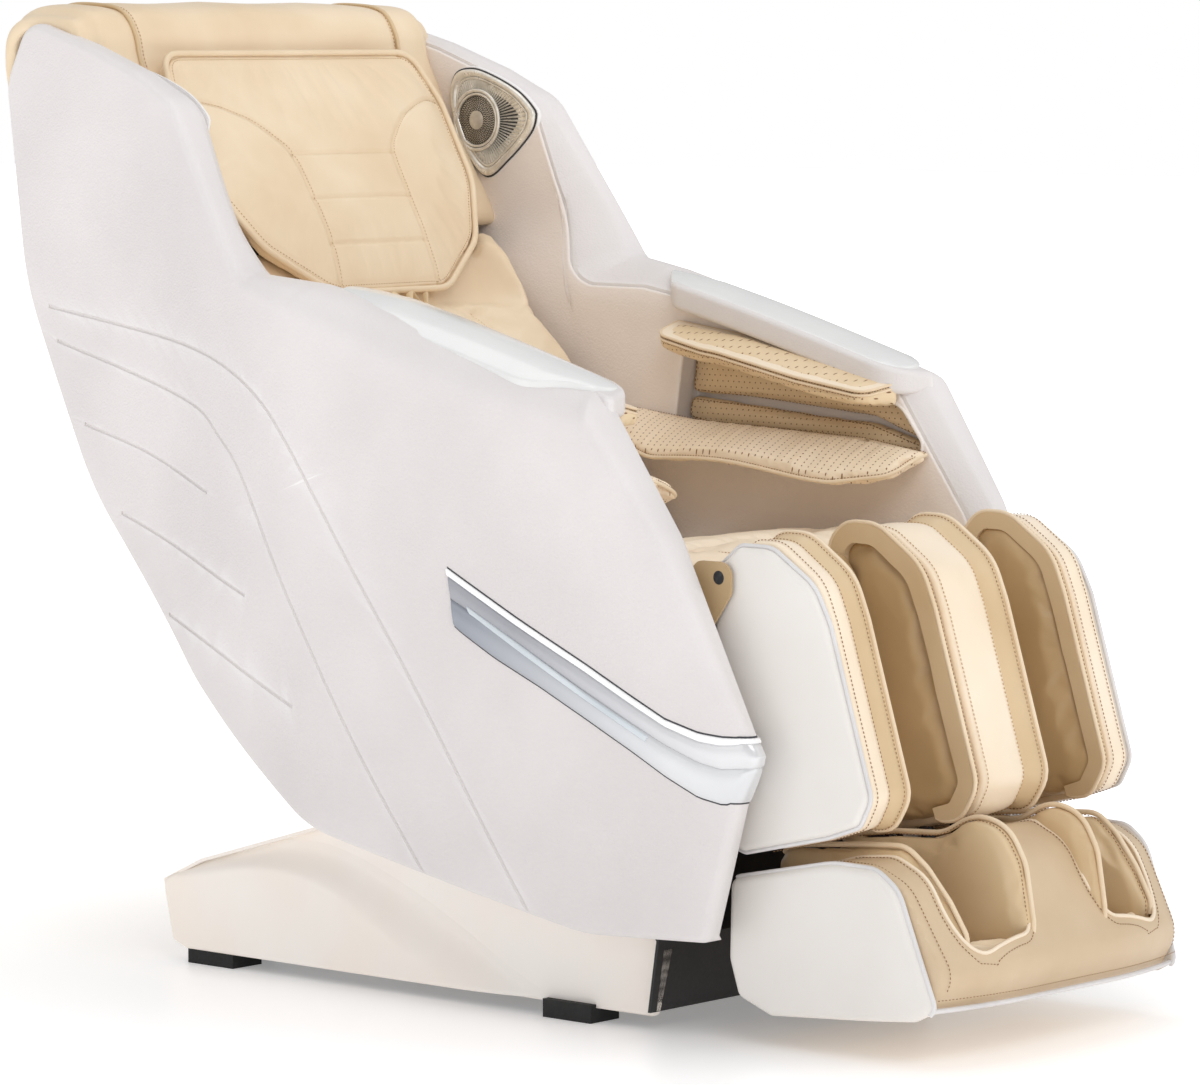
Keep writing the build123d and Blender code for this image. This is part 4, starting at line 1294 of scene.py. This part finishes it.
def lip(name, side, run, outward, foot, crest, tall):
    """A rolled edge beside a leg channel: it climbs from its foot to a piped crest, then drops away."""
    step = (crest - foot) / 5.0
    back = crest + math.copysign(4.0, step)
    climb = [foot, foot + step, foot + 2 * step, foot + 3 * step, foot + 4 * step, crest, back]
    section = [(x, share * tall) for x, share in zip(climb, (0.0, 0.16, 0.38, 0.66, 0.88, 1.0, 0.93))]
    section += [(back, -10.0), (foot, -10.0)]
    ends = (9, 12)
    roll = strap(name, run, outward, [(side * x, h) for x, h in section], *ends)
    wrinkle(roll, foot, 1.0, 40.0, (1.0, 0.6, 0.6))
    dress(roll, LEATHER_TAN, "legrest", "leather_tan")
    height = (fade(len(run), *ends) * tall)[:, None]
    path = at_x(side * (crest + math.copysign(1.5, step)), run + outward * (height + 0.6))
    piped(f"{name}_piping", path, 2.8, "legrest", slot="leather_light")
    path = at_x(side * (crest - math.copysign(5.0, step)), run + outward * height)
    sewn(f"{name}_stitches", path, "legrest")


def calf_unit():
    body = "legrest"
    whole = Outline(LEG_OUTLINE, step=10, arc=8)
    core = Outline(CORE_OUTLINE, step=10, arc=8)
    channel = Outline([(-427, 242, 8), (-500, 254, 16), (-468, 520, 34), (-442, 556, 10), (-427, 556, 4)],
                      step=10, arc=5)
    middle = (-500, 400)
    run, outward = front_run(CORE_OUTLINE, (-428, 530), (-470, 229))
    lip_run, lip_outward = front_run(CORE_OUTLINE, (-428, 530), (-574, 258))
    for side, word in SIDES:
        panel = slab(f"calf_side_{word}", whole, 243.8, 255, across(side), 1, 7, inset=1.5, rings=6,
                     crown_high=3)
        dress(panel, LEATHER_WHITE, body, "leather_white", "calf_side_panels", padded=0.4)
        piped(f"calf_side_piping_{word}", at_x(side * 246.5, whole.ring(-0.5)), 2.6, body, PIPING_GREY,
              "leather_white", closed=True)
        pad = slab(f"calf_outer_pad_{word}", core, 187, 240, across(side), 12, 4, inset=3, rings=8,
                   crown_low=4, centre=middle)
        puff(pad, 5.0, 4.0, 8.0, 0.03, [at_x(side * 206, run)])
        wrinkle(pad, 4.2 + side, 1.8, 55.0, (1.0, 0.8, 0.35))
        dress(pad, LEATHER_TAN_SHADED, body, "leather_tan", "calf_outer_pads", padded=0.6)
        band = strap(f"calf_band_{word}", run, outward, [(side * x, h) for x, h in arch(209, 243, 4.5, 10)])
        dress(band, LEATHER_CREAM, body, "leather_light")
        sewn(f"calf_band_stitches_{word}", at_x(side * 213, run + outward * 5), body)
        sewn(f"calf_edge_stitches_{word}", at_x(side * 234, run + outward * 5), body)
        lip(f"calf_lip_{word}", side, lip_run, lip_outward, 208, 187, 10)
        back = slab(f"calf_back_pad_{word}", channel, 66, 181, across(side), 14, 14, rings=5)
        puff(back, 5.5, 4.0, 8.0, 0.02)
        dress(back, LEATHER_TAN_SHADED, body, "leather_tan", "calf_back_pads", padded=0.6)
        lip(f"divider_lip_{word}", side, lip_run, lip_outward, 42, 66, 14)
        sewn(f"divider_band_stitches_{word}", at_x(side * 33.5, run + outward * 7.6), body,
             material=THREAD_PALE)
    divider = slab("calf_middle", core, -60, 60, across(1), 12, 12, inset=3, rings=8, crown_low=3,
                   crown_high=3, centre=middle)
    puff(divider, 5.0, 4.0, 8.0, 0.03, [at_x(x, run) for x in (-40, 40)])
    wrinkle(divider, 7.7, 1.8, 55.0, (1.0, 0.8, 0.35))
    dress(divider, LEATHER_TAN_SHADED, body, "leather_tan", "calf_divider", padded=0.6)
    band = strap("calf_middle_band", run, outward, arch(-40, 40, 9, 10, 15))
    wrinkle(band, 3.3, 1.2, 45.0, (0.6, 0.6, 0.4))
    dress(band, LEATHER_CREAM, body, "leather_light")


# ---- Foot unit -----------------------------------------------------------------------------------


FOOT_MIDDLE = (-560, 130)
SIDE_BORDER = [(-412, 98, 30), (-414, 192, 14), (-562, 223, 120), (-628, 222, 50), (-664, 200, 50),
               (-706, 104, 40), (-722, 66, 12), (-690, 52, 20), (-474, 37, 20), (-426, 55, 14)]


def nose(points, crown=0.0):
    """Rounds the foot unit's front corners in plan, and lifts its middle by a crown."""
    x, y, z = points.T
    ahead = np.clip((-600 - y) / 130, 0, 1)
    aside = np.clip((np.abs(x) - 90) / 158, 0, 1)
    over = np.clip((-540 - y) / 80, 0, 1) * np.clip((z - 60) / 160, 0, 1) * np.clip(1 - (x / 235) ** 2, 0, 1)
    return np.stack([x * (1 - 0.05 * ahead ** 2), y + 24 * ahead * aside ** 2 - 4 * ahead * (1 - aside),
                     z + crown * over], 1)


def shaped(piece, crown=0.0):
    return reshape(piece, nose(coordinates(piece), crown))


def well_floor(x, y):
    """Height of the floor of the foot wells."""
    return np.interp(y, [-716, -640, -560], [116, 84, 62])


def foot_cover():
    """The upholstered cover, with its two foot wells and the slot between them cut out."""
    cover = slab("foot_cover_skin", Outline(FOOT_OUTLINE, step=9, arc=8), -235, 235, across(1), 5, 5, inset=1,
                 rings=10, centre=FOOT_MIDDLE, sharp=50)
    remesh(cover, 6.0)
    shaped(cover, 26)
    well = Outline([(60, -716, 30), (192, -716, 44), (192, -430, 10), (60, -430, 10)], step=8, arc=7)
    slot = Outline([(-47, -564, 4), (47, -564, 4), (47, -498, 4), (-47, -498, 4)])
    cutters = [slab("recess", well, well_floor, 300, upright(side), 6, 1) for side, _ in SIDES]
    cutters.append(slab("slot", slot, 150, 300, upright(1), 1, 1))
    skin_tree = BVHTree.FromObject(cover, bpy.context.evaluated_depsgraph_get())
    cut(cover, cutters)
    dress(cover, LEATHER_FOOT, "footrest", "leather_beige", "foot_cover", padded=0.5)
    return well, skin_tree


def round_well(well, inset, behind, side, skin_tree):
    """A line round the front of a foot well, dropped onto the cover's skin."""
    ring = well.ring(inset)
    landed = []
    for x, y in from_gap(ring[ring[:, 1] < behind]):
        hit = skin_tree.ray_cast(Vector((side * x, y, 400.0)) * MM, Vector((0, 0, -1)))[0]
        if hit is not None:
            landed.append(np.array(hit) / MM)
    return np.array(landed)


def foot_sides(well, skin_tree):
    """The white side panels, their piping, and the lines of thread beside them and round the wells."""
    outline = Outline(SIDE_BORDER, step=9, arc=8)
    run, outward = front_run(SIDE_BORDER, (-420, 190), (-716, 60))
    row, out = front_run(FOOT_OUTLINE, (-420, 190), (-726, 90))
    for side, word in SIDES:
        panel = slab(f"foot_side_{word}", outline, 235.5, 248, across(side), 1, 9, inset=1, rings=6,
                     crown_high=2.5, centre=FOOT_MIDDLE)
        dress(shaped(panel), LEATHER_WHITE, "footrest", "leather_white", "foot_side_panels", padded=0.4)
        piped(f"foot_piping_{word}", nose(at_x(side * 239, run - 0.5 * outward)), 3.0, "footrest",
              PIPING_GREY, "leather_white")
        sewn(f"foot_stitches_{word}", nose(at_x(side * 225, row + 0.8 * out)), "footrest")
        border = round_well(well, -7.0, -560, side, skin_tree) + [0, -0.4, 0.6]
        sewn(f"foot_well_stitches_{word}", border, "footrest")
        rim = smooth(round_well(well, -1.5, -500, side, skin_tree), 6)
        piped(f"foot_well_rim_{word}", rim, 2.4, "footrest", LEATHER_CREAM, "leather_light")
    hem = np.stack([np.linspace(-236, 236, 80), np.full(80, -712.0), np.full(80, 66.0)], 1)
    piped("foot_hem_piping", nose(hem), 3.0, "footrest", PIPING_GREY, "leather_white")
    sewn("foot_hem_stitches", nose(hem + [0, -9.5, 13.0]), "footrest")


def foot_pads():
    """The pads on both sides of each foot, with piped and sewn edges, and the pad under the toes."""
    inner = [(-440, 96, 8), (-440, 224, 26), (-520, 236, 60), (-590, 240, 60), (-634, 266, 50),
             (-678, 256, 50), (-700, 216, 50), (-711, 150, 16), (-709, 122, 6), (-600, 80, 30)]
    outer = [(-440, 96, 8), (-440, 224, 26), (-560, 236, 60), (-622, 240, 40), (-652, 218, 40),
             (-684, 182, 50), (-707, 146, 16), (-707, 122, 6), (-600, 80, 30)]
    sole = Outline([(86, -700, 18), (170, -700, 18), (170, -566, 12), (86, -566, 12)], step=8, arc=5)
    for side, word in SIDES:
        for label, corners, x0, x1, crown_low, crown_high, piping_x, thread_x in (
                ("inner", inner, 62, 84, 0, 6, 71, 78.5), ("outer", outer, 172, 191, 5, 0, 182, 174.5)):
            profile = Outline(corners, step=9, arc=7)
            pad = slab(f"foot_pad_{label}_{word}", profile, x0, x1, across(side), 7, 7, rings=6,
                       crown_high=crown_high, crown_low=crown_low, centre=(-560, 150))
            puff(pad, 4.5, 3.0, 5.0, 0.02)
            dress(shaped(pad), LEATHER_TAN, "footrest", "leather_tan", "foot_pads", padded=0.5)
            edge, out = front_run(corners, (-446, 216), (-710, 130))
            path = nose(at_x(side * piping_x, edge + 1.5 * out))
            piped(f"foot_pad_piping_{label}_{word}", path, 3.2, "footrest")
            path = nose(at_x(side * thread_x, edge - 1.2 * out))
            sewn(f"foot_pad_stitches_{label}_{word}", path, "footrest")
        toe = slab(f"toe_pad_{word}", sole, lambda x, y: well_floor(x, y) + 1,
                   lambda x, y: well_floor(x, y) + 26, upright(side), 4, 9, rings=5, crown_high=6)
        puff(toe, 4.5, 3.0, 4.0, 0.03)
        wrinkle(toe, 1.5, 4.0, 26.0)
        dress(shaped(toe), LEATHER_BEIGE, "footrest", "leather_beige", padded=0.5)


def foot_unit():
    foot_sides(*foot_cover())
    foot_pads()


# ---- Base and back -------------------------------------------------------------------------------

BASE_MAIN = [(-305, 8), (-137, 18), (-4, 80), (112, 131), (224, 161), (325, 157), (428, 133), (500, 118)]
BASE_SECOND = [(-305, -40), (22, 25), (112, 68), (191, 108), (278, 129), (394, 122), (492, 104), (500, 103)]


def base_sides():
    outline = Outline(BASE_OUTLINE, step=7, arc=6)
    upper = spline(BASE_MAIN)
    lower = spline(BASE_SECOND)

    def face(y, z):
        gap = np.maximum(upper(y) - lower(y), 6.0)
        climb = np.clip((z - lower(y)) / gap, 0, 1)
        above = np.clip((z - upper(y)) / 90.0, 0, 1)
        return 262.0 - 15.0 * climb * climb * (3 - 2 * climb) - 10.0 * above

    for side, word in SIDES:
        cover = slab(f"base_side_{word}", outline, 246, face, across(side), 1, 5, rings=26, centre=(90, 100))
        dress(cover, BASE_PLASTIC, "base", "base_plastic", f"base_cover_{word}")


def rear_cover():
    """The soft cover behind the back rest, in sewn panels."""
    run = smooth([(672, 1000), (668, 950), (652, 880), (622, 812), (574, 720), (524, 634), (470, 558),
                  (410, 484), (352, 420)], 9)
    way = directions(run, False)
    outward = np.stack([-way[:, 1], way[:, 0]], 1)
    if outward[0][0] < 0:
        outward = -outward
    loops = []
    for number, (spot, out) in enumerate(zip(run, outward)):
        half = 258 + 34 * float(np.clip((spot[1] - 880) / 50, 0, 1))
        panel = math.sin(math.pi * min(1.0, max(0.0, (number + 0.5) / len(run)))) ** 0.3
        rib = 2.0 * abs(math.sin(3 * math.pi * number / (len(run) - 1))) ** 0.5
        section = [(-half, -8), (-half, -2), (-half + 8, 0.5)] \
            + [(x * half, 1.0 + rib) for x in np.linspace(-0.92, 0.92, 25)] \
            + [(half - 8, 0.5), (half, -2), (half, -8), (0, -8)]
        spots = [(x, spot + out * (h * panel if h > 0 else h)) for x, h in section]
        loops.append([(x, y, z) for x, (y, z) in spots])
    cover = loft("rear_cover", loops, 50)
    dress(cover, BACK_LEATHER, "capsule", "back_leather", "rear_panel")
    for share, label in ((1 / 3, "high"), (2 / 3, "low")):
        number = int(round(share * (len(run) - 1)))
        spot, out = run[number], outward[number]
        for shift, row in ((-1, "a"), (1, "b")):
            y, z = spot + out * 2.4 + way[number] * 5 * shift
            line = np.stack([np.linspace(-240, 240, 90), np.full(90, y), np.full(90, z)], 1)
            sewn(f"rear_stitches_{label}_{row}", line, "capsule", material=THREAD_PALE, slot="back_leather")


# ---- Carried-over nodes --------------------------------------------------------------------------


def paint_nodes():
    finishes = {
        BASE_PLASTIC: ("base_cover_rear",),
        RUBBER: ("rubber_feet", "transport_wheels", "foot_roller_front", "foot_roller_rear"),
        FRAME_STEEL: ("base_frame", "slide_frame", "back_frame", "leg_frame", "carriage_frame",
                      "roller_arm_left", "roller_arm_right", "foot_frame"),
        FRAME_BEIGE: ("seat_frame",),
        BRIGHT_STEEL: ("tilt_pins", "guide_rails", "tilt_rod", "leg_rod"),
        BLACK_PLASTIC: ("base_cover_front", "control_box", "power_inlet", "air_pump", "power_switch",
                        "tilt_actuator", "leg_actuator", "knead_motor"),
        NYLON: ("guide_shoes", "roller_upper_left", "roller_upper_right", "roller_lower_left",
                "roller_lower_right"),
    }
    for finish, names in finishes.items():
        for name in names:
            paint(name, finish)


# ---- Studio --------------------------------------------------------------------------------------


def floor_finish():
    """A pale satin floor that glows to plain white away from the chair."""
    finish = Finish("floor_white", IOR=1.35)
    finish.set("Base Color", finish.blend(finish.noise(1.5), tint("F8F7F7"), tint("F5F4F4")))
    finish.set("Roughness", finish.span(finish.noise(3.0), 0.3, 0.7, 0.3, 0.36))
    reach = finish.add("VectorMath", {"operation": "LENGTH"})
    finish.feed(reach.inputs[0], finish.place)
    finish.set("Emission Color", (1.0, 1.0, 1.0, 1.0))
    finish.set("Emission Strength", finish.span(reach.outputs["Value"], 0.5, 2.6, 0.25, 0.95))
    return finish.material


def studio():
    size = 30.0
    points = [(-size, -size, 0), (size, -size, 0), (size, size, 0), (-size, size, 0)]
    floor = make("floor", np.array(points) / MM, [(0, 1, 2, 3)])
    floor.data.materials.append(floor_finish())

    world = bpy.data.worlds.new("studio")
    bpy.context.scene.world = world
    world.use_nodes = True
    background = world.node_tree.nodes["Background"]
    background.inputs["Color"].default_value = (1.0, 1.0, 1.0, 1.0)
    seen = world.node_tree.nodes.new("ShaderNodeLightPath")
    strength = world.node_tree.nodes.new("ShaderNodeMapRange")
    strength.inputs["To Min"].default_value = 0.55
    strength.inputs["To Max"].default_value = 1.0
    world.node_tree.links.new(seen.outputs["Is Camera Ray"], strength.inputs["Value"])
    world.node_tree.links.new(strength.outputs["Result"], background.inputs["Strength"])

    lamps = (
        ("key", (-2.4, -3.6, 3.8), 2.4, 60.0),
        ("fill", (2.6, -4.2, 2.6), 3.0, 30.0),
        ("top", (0.3, 0.4, 4.6), 3.2, 42.0),
        ("side", (-4.6, 1.6, 1.6), 2.2, 10.0),
    )
    target = Vector((0, 0, 0.6))
    for name, place, width, power in lamps:
        lamp = bpy.data.lights.new(name, "AREA")
        lamp.shape = "SQUARE"
        lamp.size = width
        lamp.energy = power
        holder = bpy.data.objects.new(name, lamp)
        holder.location = place
        holder.rotation_euler = (target - Vector(place)).to_track_quat("-Z", "Y").to_euler()
        bpy.context.scene.collection.objects.link(holder)

    scene = bpy.context.scene
    scene.view_settings.view_transform = "Standard"
    scene.view_settings.look = "None"

    lens = bpy.data.cameras.new("camera")
    lens.sensor_width = 36.0
    lens.lens = 170.5
    lens.clip_end = 100.0
    camera = bpy.data.objects.new("camera", lens)
    right = Vector((0.658, -0.753, 0.0)).normalized()
    back = Vector((-0.74985, -0.65529, 0.0912)).normalized()
    up = back.cross(right)
    turn = Matrix((right, up, back)).transposed().to_4x4()
    camera.matrix_world = Matrix.Translation((-5.1953, -4.5429, 1.1672)) @ turn
    scene.collection.objects.link(camera)
    scene.camera = camera


# ---- Scene ---------------------------------------------------------------------------------------

shells_and_walls()
armrests()
trims()
speakers()
pillow()
hood()
back_cushion()
seat()
arm_pads()
calf_unit()
foot_unit()
base_sides()
rear_cover()
paint_nodes()
studio()
